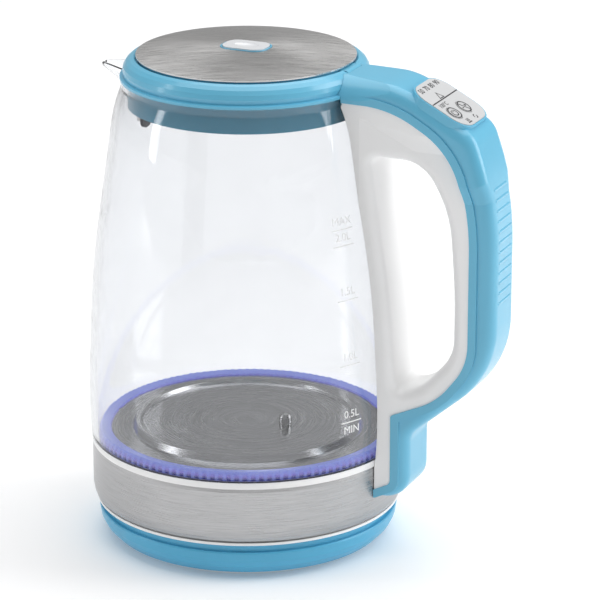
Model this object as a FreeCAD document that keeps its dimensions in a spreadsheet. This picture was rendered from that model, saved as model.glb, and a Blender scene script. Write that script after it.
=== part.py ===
import FreeCAD, Part
import Sketcher
import math
import os
from FreeCAD import Placement, Rotation, Vector

# Electric kettle: glass body on a cordless power base, hinged steel lid, loop handle with
# a control panel. Millimetres. +Z is up, z = 0 is the surface it stands on, the kettle's
# axis is the z axis, the handle reaches along +X and the spout along -X.

# Driving dimensions, one named cell each.
DRIVING = {
    # overall
    "wall": 2.4,
    # power base
    "base_radius": 73.6,
    "base_rim_height": 15.2,
    "base_foot_radius": 62.0,
    "base_step_radius": 71.8,
    "deck_height": 18.0,
    "underside_height": 1.2,
    "rubber_foot_radius": 6.0,
    "rubber_foot_offset": 46.0,
    "base_screw_offset": 48.0,
    "tower_radius": 13.0,
    "tower_height": 15.0,
    "cord_inlet_radius": 3.4,
    # kettle bottom
    "cover_thickness": 1.3,
    "lower_trim_radius": 74.7,
    "lower_trim_height": 1.3,
    "band_bottom_radius": 74.0,
    "band_radius": 76.5,
    "band_height": 28.2,
    "band_gauge": 0.8,
    "upper_trim_radius": 76.7,
    "upper_trim_height": 3.4,
    "boss_radius": 4.0,
    "boss_offset": 58.0,
    "plate_radius": 67.0,
    "plate_gauge": 1.0,
    "plate_rib_radius": 54.0,
    "element_radius": 38.0,
    "element_tube": 3.4,
    "sensor_x": 20.0,
    "led_offset": 70.5,
    # glass
    "glass_base_radius": 77.0,
    "glass_belly_radius": 77.7,
    "glass_belly_height": 75.0,
    "glass_shoulder_radius": 66.6,
    "glass_shoulder_height": 196.0,
    "glass_mouth_radius": 60.0,
    "glass_mouth_height": 230.0,
    "glass_wall": 3.0,
    "spout_reach": 75.5,
    "spout_tip_radius": 2.8,
    "spout_root_radius": 17.0,
    # collar and filter
    "collar_height": 240.6,
    "collar_radius": 59.0,
    "lid_seat_radius": 52.9,
    "lid_seat_height": 238.6,
    "sleeve_depth": 12.6,
    "filter_x": -54.4,
    "filter_half_width": 12.4,
    "filter_drop": 31.0,
    # lid
    "lid_radius": 52.7,
    "lid_dome": 3.4,
    "lid_gauge": 0.8,
    "lid_skirt_radius": 47.5,
    "lid_depth": 14.0,
    "hinge_x": 54.0,
    "hinge_z": 237.6,
    "knuckle_radius": 2.9,
    "knuckle_half_length": 7.5,
    "hinge_coil_length": 3.0,
    "hinge_coil_wire": 0.5,
    "pin_radius": 1.3,
    "running_gap": 0.06,
    "lid_button_length": 24.0,
    "lid_button_width": 18.0,
    # handle
    "handle_reach": 133.0,
    "handle_top": 240.2,
    "crest_drop": 2.2,
    "handle_half_width": 15.4,
    "handle_root_half_width": 20.0,
    "handle_neck_half_width": 18.2,
    "neck_low": 188.0,
    "neck_rise": 18.0,
    "shell_rounding": 6.0,
    "lip_width": 4.0,
    "lip_step": 0.8,
    "rib_count": 12,
    "rib_pitch": 5.0,
    "rib_top": 191.0,
    "rib_half_length": 7.6,
    "rib_proud": 0.35,
    "arch_rounding": 14.0,
    "grip_depth": 21.0,
    "back_depth": 12.5,
    "strap_proud": 6.6,
    "foot_x": 90.4,
    "foot_z": 32.0,
    "cavity_half_width": 10.0,
    "panel_inset": 29.0,
    "panel_z": 228.4,
    "panel_slope": 28.0,
    "panel_length": 32.0,
    "panel_width": 31.0,
    "panel_thickness": 1.4,
    "panel_proud": 1.0,
    "key_radius": 4.2,
    "key_along": 6.0,
    "power_key_y": -8.8,
    "heat_key_y": 3.2,
}

doc = FreeCAD.newDocument("kettle")
sheet = doc.addObject("Spreadsheet::Sheet", "Sizes")
for row, (alias, number) in enumerate(DRIVING.items(), start=1):
    sheet.set(f"A{row}", alias)
    sheet.set(f"B{row}", str(number))
    sheet.setAlias(f"B{row}", alias)
doc.recompute()


class Size:
    """A length or angle: its number, and the sheet expression that gives it."""

    def __init__(self, value, text):
        self.value = float(value)
        self.text = text

    def _with(self, other, sign, flip=False):
        other = other if isinstance(other, Size) else Size(other, repr(float(other)))
        left, right = (other, self) if flip else (self, other)
        results = {
            "+": left.value + right.value,
            "-": left.value - right.value,
            "*": left.value * right.value,
            "/": left.value / right.value if right.value else math.inf,
        }
        return Size(results[sign], f"({left.text} {sign} {right.text})")

    def __add__(self, other):
        return self._with(other, "+")

    def __radd__(self, other):
        return self._with(other, "+", flip=True)

    def __sub__(self, other):
        return self._with(other, "-")

    def __rsub__(self, other):
        return self._with(other, "-", flip=True)

    def __mul__(self, other):
        return self._with(other, "*")

    def __rmul__(self, other):
        return self._with(other, "*", flip=True)

    def __truediv__(self, other):
        return self._with(other, "/")

    def __neg__(self):
        return 0.0 - self

    def __float__(self):
        return self.value


class Sheet:
    """The driving dimensions as Size attributes."""

    def __getattr__(self, alias):
        return Size(sheet.get(alias), f"Sizes.{alias}")


S = Sheet()


def bind(obj, prop, size):
    """Set a property, tied to the sheet when the size comes from there."""
    if isinstance(size, Size):
        obj.setExpression(prop, size.text)
    else:
        setattr(obj, prop, size)


def place(obj, x=0.0, y=0.0, z=0.0, turn=None):
    """Put an object at a point, each coordinate tied to the sheet."""
    obj.Placement = Placement(Vector(float(x), float(y), float(z)), turn or Rotation())
    for axis, size in (("x", x), ("y", y), ("z", z)):
        if isinstance(size, Size):
            obj.setExpression(f"Placement.Base.{axis}", size.text)
    return obj


# ---------------------------------------------------------------- building blocks

def origin_plane(body, role):
    return next(f for f in body.Origin.OriginFeatures if f.Role == role)


def new_sketch(name, plane="XZ_Plane"):
    """A body with one empty sketch on one of its own origin planes."""
    body = doc.addObject("PartDesign::Body", name)
    sketch = body.newObject("Sketcher::SketchObject", name + "_sketch")
    sketch.AttachmentSupport = (origin_plane(body, plane), [""])
    sketch.MapMode = "FlatFace"
    return body, sketch


def draw_polygon(sketch, points):
    """A closed outline whose every corner is tied to the sheet."""
    corners = [Vector(float(a), float(b), 0) for a, b in points]
    count = len(corners)
    for index in range(count):
        sketch.addGeometry(Part.LineSegment(corners[index], corners[(index + 1) % count]))
    for index in range(count):
        sketch.addConstraint(
            Sketcher.Constraint("Coincident", index, 2, (index + 1) % count, 1))
    for index, point in enumerate(points):
        for kind, size in zip(("DistanceX", "DistanceY"), point):
            number = sketch.addConstraint(
                Sketcher.Constraint(kind, -1, 1, index, 1, float(size)))
            if isinstance(size, Size):
                sketch.setExpression(f"Constraints[{number}]", size.text)


def turned(name, points, angle=360.0):
    """A piece turned about the z axis from its half section (radius, height)."""
    body, sketch = new_sketch(name)
    draw_polygon(sketch, points)
    doc.recompute()
    feature = body.newObject("PartDesign::Revolution", name + "_turn")
    feature.Profile = sketch
    feature.ReferenceAxis = (sketch, ["V_Axis"])
    feature.Angle = angle
    body.Tip = feature
    return body


def rounded(points):
    """Edges of a closed outline with round corners, from (a, b, radius) points."""
    count = len(points)
    corners = [Vector(float(a), float(b), 0) for a, b, _ in points]
    joints = []
    for index, (_, _, radius) in enumerate(points):
        here = corners[index]
        back = (corners[index - 1] - here).normalize()
        ahead = (corners[(index + 1) % count] - here).normalize()
        if float(radius) == 0:
            joints.append((here, None, here))
            continue
        half = back.getAngle(ahead) / 2
        run = float(radius) / math.tan(half)
        centre = here + (back + ahead).normalize() * (float(radius) / math.sin(half))
        middle = centre + (here - centre).normalize() * float(radius)
        joints.append((here + back * run, middle, here + ahead * run))
    edges = []
    for index, (start, middle, end) in enumerate(joints):
        if middle is not None:
            edges.append(Part.Arc(start, middle, end))
        following = joints[(index + 1) % count][0]
        if end.distanceToPoint(following) > 1e-6:
            edges.append(Part.LineSegment(end, following))
    return edges


def padded(name, points, length, plane="XZ_Plane", both=True):
    """A round-cornered outline pulled into a solid, both ways from its plane or one way."""
    body, sketch = new_sketch(name, plane)
    for edge in rounded(points):
        sketch.addGeometry(edge)
    doc.recompute()
    feature = body.newObject("PartDesign::Pad", name + "_pad")
    feature.Profile = sketch
    feature.Midplane = both
    bind(feature, "Length", length)
    body.Tip = feature
    return body


def box(name, low, high):
    """A box between two corners."""
    solid = doc.addObject("Part::Box", name)
    for prop, a, b in zip(("Length", "Width", "Height"), low, high):
        bind(solid, prop, b - a)
    return place(solid, *low)


def cylinder(name, radius, length, at, turn=None):
    solid = doc.addObject("Part::Cylinder", name)
    bind(solid, "Radius", radius)
    bind(solid, "Height", length)
    return place(solid, *at, turn=turn)


def boolean(kind, name, shapes):
    if len(shapes) == 1:
        return shapes[0]
    feature = doc.addObject(f"Part::{kind}", name)
    feature.Shapes = list(shapes)
    return feature


def fused(name, *shapes):
    return boolean("MultiFuse", name, shapes)


def common(name, *shapes):
    return boolean("MultiCommon", name, shapes)


def cut(name, base, *tools):
    feature = doc.addObject("Part::Cut", name)
    feature.Base = base
    feature.Tool = fused(name + "_tools", *tools)
    feature.Refine = True
    return feature


def group(name, shapes):
    """Separate identical solids that share one node."""
    feature = doc.addObject("Part::Compound", name)
    feature.Links = list(shapes)
    return feature


def around(count, offset, start=0.0):
    """Points evenly spaced on a circle about the z axis."""
    for index in range(count):
        angle = math.radians(start + 360.0 * index / count)
        yield index, offset * math.cos(angle), offset * math.sin(angle)


def smoothed(name, base, radius_at, keep):
    """Round the edges whose middle passes the test, by a radius that depends on the place."""
    doc.recompute()
    feature = doc.addObject("Part::Fillet", name)
    feature.Base = base
    picked = []
    for number, edge in enumerate(base.Shape.Edges, start=1):
        first, last = edge.FirstParameter, edge.LastParameter
        if keep(edge.valueAt((first + last) / 2)):
            picked.append((number, radius_at(edge.valueAt(first)), radius_at(edge.valueAt(last))))
    feature.Edges = picked
    return feature


NODES = {}


def node(name, feature):
    """Register a finished piece under the name of its file."""
    feature.Label = name
    NODES[name] = feature
    return feature


ALONG_Y = Rotation(Vector(1, 0, 0), -90)
ALONG_X = Rotation(Vector(0, 1, 0), 90)

# Heights of the stack, from the bottom up.
COVER_TOP = S.deck_height + S.cover_thickness
BAND_BOTTOM = COVER_TOP + S.lower_trim_height
BAND_TOP = BAND_BOTTOM + S.band_height
GLASS_BOTTOM = BAND_TOP + S.upper_trim_height
PLATE_BOTTOM = GLASS_BOTTOM + 1.8
BOARD_TOP = BAND_TOP - 1.4
TOWER_TOP = S.deck_height + S.tower_height


# ---------------------------------------------------------------- power base

def foot_places():
    """Number and place of each rubber foot: four round the edge and one in the middle."""
    yield from around(4, S.rubber_foot_offset, 45)
    yield 4, 0.0, 0.0


def base_housing():
    shell = turned("base_housing_shell", [
        (S.base_foot_radius, S.underside_height),
        (S.base_foot_radius + 5.4, S.underside_height + 1.6),
        (S.base_radius - 2.4, S.underside_height + 5.6),
        (S.base_radius - 0.7, S.underside_height + 9.0),
        (S.base_radius, S.base_rim_height - 0.8),
        (S.base_radius - 0.3, S.base_rim_height),
        (S.base_step_radius, S.base_rim_height),
        (S.base_step_radius, S.deck_height),
        (S.tower_radius + 0.1, S.deck_height),
        (S.tower_radius + 0.1, S.deck_height - S.wall),
        (S.base_step_radius - S.wall, S.deck_height - S.wall),
        (S.base_step_radius - S.wall, S.underside_height + 8.2),
        (S.base_foot_radius + 4.0, S.underside_height + S.wall + 1.8),
        (S.base_foot_radius, S.underside_height + S.wall),
    ])
    bosses = [
        cylinder(f"base_boss_{index}", S.boss_radius, S.deck_height - S.wall - 3.6, (x, y, 4.2))
        for index, x, y in around(3, S.base_screw_offset, 60)
    ]
    holes = [
        cylinder(f"base_boss_hole_{index}", 1.5, 9.0, (x, y, 4.0))
        for index, x, y in around(3, S.base_screw_offset, 60)
    ]
    inlet = cylinder("cord_inlet_hole", S.cord_inlet_radius, 20.0,
                     (0, S.base_foot_radius - 6.0, S.underside_height + 6.6), ALONG_Y)
    return cut("base_housing_part", fused("base_housing_sum", shell, *bosses), *holes, inlet)


def cord_gland():
    """The empty rubber bush that a mains cord would leave through."""
    start = S.base_foot_radius - 1.8
    end = S.base_radius - 4.6
    at = (0, start, S.underside_height + 6.6)
    sleeve = cylinder("gland_sleeve", S.cord_inlet_radius - 0.1, end - start, at, ALONG_Y)
    flange = cylinder("gland_flange", S.cord_inlet_radius + 0.6, 1.6, at, ALONG_Y)
    bore = cylinder("gland_bore", S.cord_inlet_radius - 1.4, 14.0,
                    (0, start - 2.0, S.underside_height + 6.6), ALONG_Y)
    return cut("gland_part", fused("gland_sum", sleeve, flange), bore)


def base_plate():
    disc = cylinder("base_plate_disc", S.base_foot_radius - 0.1, S.wall, (0, 0, S.underside_height))
    recesses = [
        cylinder(f"foot_recess_{index}", S.rubber_foot_radius + 0.1, 1.2,
                 (x, y, S.underside_height - 0.2))
        for index, x, y in foot_places()
    ]
    holes = [
        cylinder(f"base_plate_hole_{index}", 1.7, S.wall + 1.0, (x, y, S.underside_height - 0.5))
        for index, x, y in around(3, S.base_screw_offset, 60)
    ]
    sinks = [
        cylinder(f"base_plate_sink_{index}", 3.2, 1.5, (x, y, S.underside_height - 0.2))
        for index, x, y in around(3, S.base_screw_offset, 60)
    ]
    return cut("base_plate_part", disc, *recesses, *holes, *sinks)


def base_feet():
    return group("base_feet_group", [
        cylinder(f"rubber_foot_{index}", S.rubber_foot_radius, S.underside_height + 1.0, (x, y, 0))
        for index, x, y in foot_places()
    ])


def screw(name, x, y, z, head, length):
    """A pan-head screw standing on its head, with a cross recess."""
    cap = cylinder(name + "_head", head, 1.2, (x, y, z))
    shank = cylinder(name + "_shank", 1.4, length, (x, y, z + 1.0))
    arms = [box(f"{name}_recess_{along}", (x - along, y - across, z - 0.2),
                (x + along, y + across, z + 0.8)) for along, across in ((1.6, 0.4), (0.4, 1.6))]
    return cut(name, fused(name + "_blank", cap, shank), *arms)


def base_screws():
    return group("base_screws_group", [
        screw(f"base_screw_{index}", x, y, S.underside_height + 0.05, 2.9, 9.0)
        for index, x, y in around(3, S.base_screw_offset, 60)
    ])


def connector_tower():
    """The round plug that lets the kettle sit at any angle."""
    flange_z = S.deck_height - S.wall - 1.6
    body = turned("tower_body", [
        (0, flange_z),
        (S.tower_radius + 5.0, flange_z),
        (S.tower_radius + 5.0, flange_z + 1.6),
        (S.tower_radius, flange_z + 1.6),
        (S.tower_radius, TOWER_TOP - 0.8),
        (S.tower_radius - 0.8, TOWER_TOP),
        (0, TOWER_TOP),
    ])
    well = cylinder("tower_well", 3.6, 12.0, (0, 0, TOWER_TOP - 11.0))
    groove = turned("tower_groove", [
        (6.6, TOWER_TOP - 9.0),
        (10.6, TOWER_TOP - 9.0),
        (10.6, TOWER_TOP + 1.0),
        (6.6, TOWER_TOP + 1.0),
    ])
    return cut("tower_part", body, well, groove)


def ring(name, outer, inner, low, high):
    """A plain ring about the z axis."""
    return turned(name, [(inner, low), (outer, low), (outer, high), (inner, high)])


def base_contacts():
    return group("base_contacts_group", [
        ring("base_contact_line", 3.5, 2.7, TOWER_TOP - 10.8, TOWER_TOP - 1.0),
        ring("base_contact_neutral", 7.3, 6.7, TOWER_TOP - 8.8, TOWER_TOP - 1.2),
        ring("base_contact_earth", 10.5, 9.9, TOWER_TOP - 8.8, TOWER_TOP - 1.2),
    ])


# ---------------------------------------------------------------- bottom of the kettle

def bottom_cover():
    disc = turned("bottom_cover_disc", [
        (S.tower_radius + 7.4, S.deck_height),
        (S.base_step_radius, S.deck_height),
        (S.base_step_radius, COVER_TOP),
        (S.lower_trim_radius - 5.2, COVER_TOP),
        (S.lower_trim_radius - 5.2, COVER_TOP + 1.2),
        (S.tower_radius + 7.4, COVER_TOP + 1.2),
    ])
    holes = [
        cylinder(f"cover_hole_{index}", 1.6, 4.0, (x, y, S.deck_height - 0.5))
        for index, x, y in around(3, S.boss_offset, 0)
    ]
    sinks = [
        cylinder(f"cover_sink_{index}", 3.1, 2.0, (x, y, S.deck_height - 0.5))
        for index, x, y in around(3, S.boss_offset, 0)
    ]
    return cut("bottom_cover_part", disc, *holes, *sinks)


def cover_screws():
    return group("cover_screws_group", [
        screw(f"cover_screw_{index}", x, y, S.deck_height + 0.2, 2.8, 11.0)
        for index, x, y in around(3, S.boss_offset, 0)
    ])


def socket_housing():
    """The cup under the kettle that drops over the base's round plug."""
    low = S.deck_height + 0.3
    cup = turned("socket_cup", [
        (S.tower_radius + 1.0, low),
        (S.tower_radius + 7.1, low),
        (S.tower_radius + 7.1, COVER_TOP + 3.0),
        (S.tower_radius + 4.0, COVER_TOP + 3.0),
        (S.tower_radius + 4.0, TOWER_TOP + 3.4),
        (0, TOWER_TOP + 3.4),
        (0, TOWER_TOP + 1.0),
        (S.tower_radius + 1.0, TOWER_TOP + 1.0),
    ])
    return cup


def socket_contacts():
    top = TOWER_TOP + 0.95
    return group("socket_contacts_group", [
        cylinder("socket_pin", 2.0, 9.0, (0, 0, top - 9.0)),
        ring("socket_ring", 9.1, 8.1, top - 7.0, top),
    ])


def control_unit():
    """The thermostat switch between the socket and the heater."""
    low = TOWER_TOP + 3.5
    drum = cylinder("control_drum", 21.0, 4.0, (0, 0, low))
    return drum


def lower_trim():
    return turned("lower_trim_ring_part", [
        (S.lower_trim_radius - 5.0, COVER_TOP + 0.05),
        (S.lower_trim_radius, COVER_TOP + 0.05),
        (S.lower_trim_radius, BAND_BOTTOM),
        (S.band_bottom_radius - S.band_gauge - 0.6, BAND_BOTTOM),
        (S.band_bottom_radius - S.band_gauge - 0.6, BAND_BOTTOM + 3.6),
        (S.lower_trim_radius - 5.0, BAND_BOTTOM + 3.6),
    ])


def steel_band():
    rise = [(0.0, S.band_bottom_radius), (1.4, S.band_radius - 1.2), (3.2, S.band_radius - 0.5),
            (6.4, S.band_radius)]
    outer = [(radius, BAND_BOTTOM + up) for up, radius in rise]
    outer += [(S.band_radius, BAND_TOP - 1.8), (S.band_radius - 0.3, BAND_TOP)]
    inner = [(radius - S.band_gauge, height) for radius, height in reversed(outer)]
    return turned("steel_band_part", outer + inner)


def upper_trim():
    """The white ring that carries the glass, with the bosses of the bottom screws."""
    outline = turned("upper_trim_turn", [
        (S.boss_offset - 3.0, BAND_TOP + 0.05),
        (69.0, BAND_TOP + 0.05),
        (69.0, BOARD_TOP + 0.05),
        (S.band_radius - 3.2, BOARD_TOP + 0.05),
        (S.band_radius - 3.2, BAND_TOP - 4.8),
        (S.band_radius - 1.5, BAND_TOP - 4.8),
        (S.band_radius - 1.5, BAND_TOP + 0.05),
        (S.upper_trim_radius, BAND_TOP + 0.05),
        (S.upper_trim_radius, GLASS_BOTTOM),
        (S.boss_offset - 3.0, GLASS_BOTTOM),
    ])
    bosses = [
        cylinder(f"trim_boss_{index}", S.boss_radius, BAND_TOP - COVER_TOP, (x, y, COVER_TOP + 1.3))
        for index, x, y in around(3, S.boss_offset, 0)
    ]
    holes = [
        cylinder(f"trim_boss_hole_{index}", 1.5, 14.0, (x, y, COVER_TOP))
        for index, x, y in around(3, S.boss_offset, 0)
    ]
    windows = [
        cylinder(f"led_window_{index}", 1.7, 12.0, (x, y, BAND_TOP - 4.0))
        for index, x, y in around(8, S.led_offset, 22.5)
    ]
    return cut("upper_trim_part", fused("upper_trim_sum", outline, *bosses),
               *holes, *windows)


def heating_plate():
    """Steel floor of the kettle, with its raised ring, pierced for the sensor."""
    low = PLATE_BOTTOM
    gauge = S.plate_gauge
    rib = S.plate_rib_radius
    top = [(0, 2.4), (rib - 2.4, 2.4), (rib - 1.2, 4.0), (rib + 1.2, 4.0), (rib + 3.0, 1.0),
           (S.plate_radius, 1.0)]
    upper = [(radius, low + gauge + rise - 1.0) for radius, rise in top]
    under = [(radius, height - gauge) for radius, height in reversed(upper)]
    sheet_metal = turned("heating_plate_sheet", upper + under)
    hole = cylinder("sensor_hole", 3.1, 12.0, (S.sensor_x, 0, low - 4.0))
    return cut("heating_plate_part", sheet_metal, hole)


def heat_spreader():
    top = PLATE_BOTTOM + 1.35
    disc = cylinder("spreader_disc", 48.0, 2.2, (0, 0, top - 2.2))
    hole = cylinder("spreader_hole", 4.2, 8.0, (S.sensor_x, 0, top - 5.0))
    return cut("heat_spreader_part", disc, hole)


def heating_element():
    """Three quarters of a ring of sheathed element with its two cold ends."""
    level = PLATE_BOTTOM + 1.35 - 2.2 - 0.05 - S.element_tube
    loop = doc.addObject("Part::Torus", "element_loop")
    bind(loop, "Radius1", S.element_radius)
    bind(loop, "Radius2", S.element_tube)
    loop.Angle3 = 300.0
    place(loop, 0, 0, level, Rotation(Vector(0, 0, 1), 30))
    ends = []
    for index, angle in enumerate((30.0, 330.0)):
        x = S.element_radius * math.cos(math.radians(angle))
        y = S.element_radius * math.sin(math.radians(angle))
        ends.append(cylinder(f"element_end_{index}", 2.2, 9.0, (x, y, level - 9.0)))
    return fused("heating_element_part", loop, *ends)


def temperature_sensor():
    low = PLATE_BOTTOM - 4.0
    probe = turned("temperature_sensor_part", [
        (0, low), (3.0, low), (3.0, low + 10.6), (2.2, low + 12.0), (0, low + 12.4)])
    return place(probe, S.sensor_x)


def plate_seal():
    return ring("plate_seal_part", S.plate_radius + 0.2, 62.0, GLASS_BOTTOM + 0.05,
                PLATE_BOTTOM - 0.05)


def light_ring():
    inner_wall = S.glass_base_radius - S.glass_wall
    return turned("light_ring_part", [
        (S.plate_radius + 0.5, GLASS_BOTTOM + 0.05),
        (inner_wall - 0.4, GLASS_BOTTOM + 0.05),
        (inner_wall - 0.4, GLASS_BOTTOM + 3.4),
        (inner_wall - 1.6, GLASS_BOTTOM + 4.4),
        (S.plate_radius + 0.5, GLASS_BOTTOM + 3.2),
    ])


def led_board():
    return ring("led_board_part", S.band_radius - 3.4, 66.5, BOARD_TOP - 1.5, BOARD_TOP)


def leds():
    chips = []
    for index, x, y in around(8, S.led_offset, 22.5):
        chips.append(cylinder(f"led_{index}", 1.4, 1.6, (x, y, BOARD_TOP + 0.05)))
    return group("leds_group", chips)


# ---------------------------------------------------------------- glass

def glass_profile(offset):
    """(radius, height) along the glass wall, moved outwards by offset."""
    belly = S.glass_belly_radius + offset
    base = S.glass_base_radius + offset
    shoulder = S.glass_shoulder_radius + offset
    mouth = S.glass_mouth_radius + offset
    return [
        (base, GLASS_BOTTOM),
        (belly, S.glass_belly_height),
        (belly - 1.1, S.glass_belly_height + 30.0),
        (belly - 2.8, S.glass_belly_height + 58.0),
        (belly - 5.2, S.glass_belly_height + 80.0),
        (shoulder, S.glass_shoulder_height),
        (shoulder - 3.8, S.glass_shoulder_height + 22.0),
        (mouth, S.glass_mouth_height - 4.0),
        (mouth, S.glass_mouth_height),
    ]


def glass_shape(name, offset):
    """Solid of revolution inside the glass profile moved by offset, closed on the axis."""
    points = [Vector(float(r), 0, float(z)) for r, z in glass_profile(offset)]
    wall = Part.BSplineCurve()
    wall.interpolate(points[:-1])
    edges = [
        wall.toShape(),
        Part.LineSegment(points[-2], points[-1]).toShape(),
        Part.LineSegment(points[-1], Vector(0, 0, points[-1].z)).toShape(),
        Part.LineSegment(Vector(0, 0, points[-1].z), Vector(0, 0, points[0].z)).toShape(),
        Part.LineSegment(Vector(0, 0, points[0].z), points[0]).toShape(),
    ]
    face = Part.Face(Part.Wire(edges))
    feature = doc.addObject("Part::Feature", name)
    feature.Shape = face.revolve(Vector(0, 0, 0), Vector(0, 0, 1), 360)
    return feature


def spout_cone(name, wall, depth):
    """Half cone of the pouring beak, its axis at the rim, narrowed by a wall."""
    length = S.spout_reach - 52.0
    cone = doc.addObject("Part::Cone", name)
    bind(cone, "Radius1", S.spout_tip_radius - wall)
    bind(cone, "Radius2", S.spout_root_radius - wall)
    bind(cone, "Height", length)
    place(cone, -S.spout_reach, 0, S.glass_mouth_height + depth, turn=ALONG_X)
    return cone


def glass_body():
    """Blown glass with its beak; the wall is open at the bottom and at the mouth."""
    outside = fused("glass_outside", glass_shape("glass_outer", 0.0),
                    spout_cone("spout_outer", 0.0, 0.4))
    inside = glass_shape("glass_inner", -float(S.glass_wall))
    channel = spout_cone("spout_inner", 1.9, 0.6)
    above = box("above_rim", (-90, -30, S.glass_mouth_height), (-40, 30, 260))
    floor = cylinder("glass_floor_hole", S.glass_base_radius - S.glass_wall, 3.0,
                     (0, 0, GLASS_BOTTOM - 2.0))
    mouth = cylinder("glass_mouth_hole", S.glass_mouth_radius - S.glass_wall, 3.0,
                     (0, 0, S.glass_mouth_height - 1.0))
    return cut("glass_body_part", outside, inside, channel, above, floor, mouth)


# ---------------------------------------------------------------- collar and filter

def top_collar():
    """Ring on the glass mouth: flange on the rim, sleeve inside, seat for the lid."""
    rim = S.glass_mouth_height
    sleeve_outer = S.glass_mouth_radius - S.glass_wall - 0.4
    sleeve_inner = sleeve_outer - S.wall
    shell = turned("collar_turn", [
        (sleeve_inner, rim - S.sleeve_depth),
        (sleeve_outer, rim - S.sleeve_depth),
        (sleeve_outer, rim + 0.1),
        (S.glass_mouth_radius + 0.4, rim + 0.1),
        (S.glass_mouth_radius + 0.4, rim + 1.4),
        (S.collar_radius - 0.4, rim + 1.8),
        (S.collar_radius, rim + 4.2),
        (S.collar_radius - 0.4, rim + 6.4),
        (S.collar_radius - 1.6, rim + 8.4),
        (S.collar_radius - 3.4, S.collar_height - 0.7),
        (S.lid_seat_radius + 0.8, S.collar_height),
        (S.lid_seat_radius, S.collar_height - 0.4),
        (S.lid_seat_radius, S.lid_seat_height),
        (S.lid_seat_radius - 2.9, S.lid_seat_height),
        (S.lid_seat_radius - 2.9, S.lid_seat_height - 2.2),
        (sleeve_inner, rim + 2.4),
    ])
    window = box("spout_window", (-64, -S.filter_half_width - 0.3, rim - S.sleeve_depth - 1),
                 (-40, S.filter_half_width + 0.3, rim + 0.0))
    half = S.knuckle_half_length + 0.3
    pocket = cylinder("hinge_pocket", S.knuckle_radius + 0.4, half * 2,
                      (S.hinge_x, -half, S.hinge_z), ALONG_Y)
    notch = box("hinge_notch", (44, -half, S.lid_seat_height - 0.2), (S.hinge_x, half, 250))
    coil_room = half + S.hinge_coil_length + 0.4
    coil_bore = cylinder("hinge_coil_bore", S.pin_radius + 0.35 + S.hinge_coil_wire,
                         coil_room * 2, (S.hinge_x, -coil_room, S.hinge_z), ALONG_Y)
    pin_half = coil_room + 3.0
    pin_hole = cylinder("hinge_pin_hole", S.pin_radius + 0.05, pin_half * 2,
                        (S.hinge_x, -pin_half, S.hinge_z), ALONG_Y)
    return cut("top_collar_part", shell, window, pocket, notch, coil_bore, pin_hole)


def hinge_pin():
    half = S.knuckle_half_length + S.hinge_coil_length + 3.4
    return cylinder("hinge_pin_part", S.pin_radius, half * 2, (S.hinge_x, -half, S.hinge_z),
                    ALONG_Y)


def coil_sleeve(name, inner, wire, length, turns):
    """A closed coil as one ribbed sleeve about the z axis, a rib for each turn."""
    pitch = length / turns
    ribs = []
    for index in range(turns):
        ribs.append((inner + wire * 0.6, pitch * index))
        ribs.append((inner + wire, pitch * (index + 0.5)))
    ribs.append((inner + wire * 0.6, length))
    return turned(name, [(inner, 0.0), *ribs, (inner, length)])


def hinge_springs():
    """Two small coils on the pin, one each side of the lid's knuckle."""
    length = S.hinge_coil_length
    coils = []
    for side, start in (("near", -S.knuckle_half_length - 0.5 - length),
                        ("far", S.knuckle_half_length + 0.5)):
        coil = coil_sleeve(f"hinge_coil_{side}", S.pin_radius + 0.15, S.hinge_coil_wire, length, 5)
        coils.append(place(coil, S.hinge_x, start, S.hinge_z, ALONG_Y))
    return group("hinge_springs_group", coils)


def filter_outline(inset):
    """Shield-shaped outline of the filter, in the plane across the spout."""
    half = S.filter_half_width - inset
    top = S.glass_mouth_height - 0.4 - inset
    low = S.glass_mouth_height - S.filter_drop + inset * 1.6
    return [(-half, top, 0.6), (-half, top - 9.0, 3.0), (-3.4, low, 3.2), (3.4, low, 3.2),
            (half, top - 9.0, 3.0), (half, top, 0.6)]


def filter_frame():
    plate = padded("filter_plate", filter_outline(0.0), 1.8, "YZ_Plane")
    opening = padded("filter_opening", filter_outline(3.0), 6.0, "YZ_Plane")
    frame = cut("filter_frame_part", plate, opening)
    return place(frame, S.filter_x)


def filter_mesh():
    mesh = padded("filter_mesh_plate", filter_outline(3.1), 0.6, "YZ_Plane")
    return place(mesh, S.filter_x)


# ---------------------------------------------------------------- lid

LID_UNDERSIDE = S.lid_seat_height + 0.3
LID_RIM = S.collar_height + 0.5
LID_FLOOR = LID_UNDERSIDE + 2.2 - S.lid_depth
BUTTON_ROUND = 7.0


def button_outline(grow):
    """Round-cornered rectangle of the lid button, grown or shrunk."""
    half_x = S.lid_button_length / 2 + grow
    half_y = S.lid_button_width / 2 + grow
    radius = BUTTON_ROUND + float(grow)
    return [(-half_x, -half_y, radius), (half_x, -half_y, radius), (half_x, half_y, radius),
            (-half_x, half_y, radius)]


def raised(name, points, low, high):
    """A round-cornered outline standing between two heights."""
    solid = padded(name, points, high - low, "XY_Plane", both=False)
    return place(solid, 0, 0, low)


def lid_plate():
    """Domed steel skin with a rolled edge and the window for the button."""
    top = LID_RIM + 0.8 + S.lid_dome
    rings = [0.0, 0.3, 0.55, 0.76, 0.91, 1.0]
    outer = [(S.lid_radius * share, top - S.lid_dome * share * share) for share in rings]
    rolled = [(S.lid_radius, LID_RIM + 0.2), (S.lid_radius - 0.3, LID_RIM),
              (S.lid_radius - S.lid_gauge, LID_RIM)]
    inner = [(radius * 0.984, height - S.lid_gauge) for radius, height in reversed(outer)]
    skin = turned("lid_skin", outer + rolled + inner)
    window = raised("lid_window", button_outline(0.15), LID_RIM - 2.0, LID_RIM + 12.0)
    return cut("lid_plate_part", skin, window)


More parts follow.
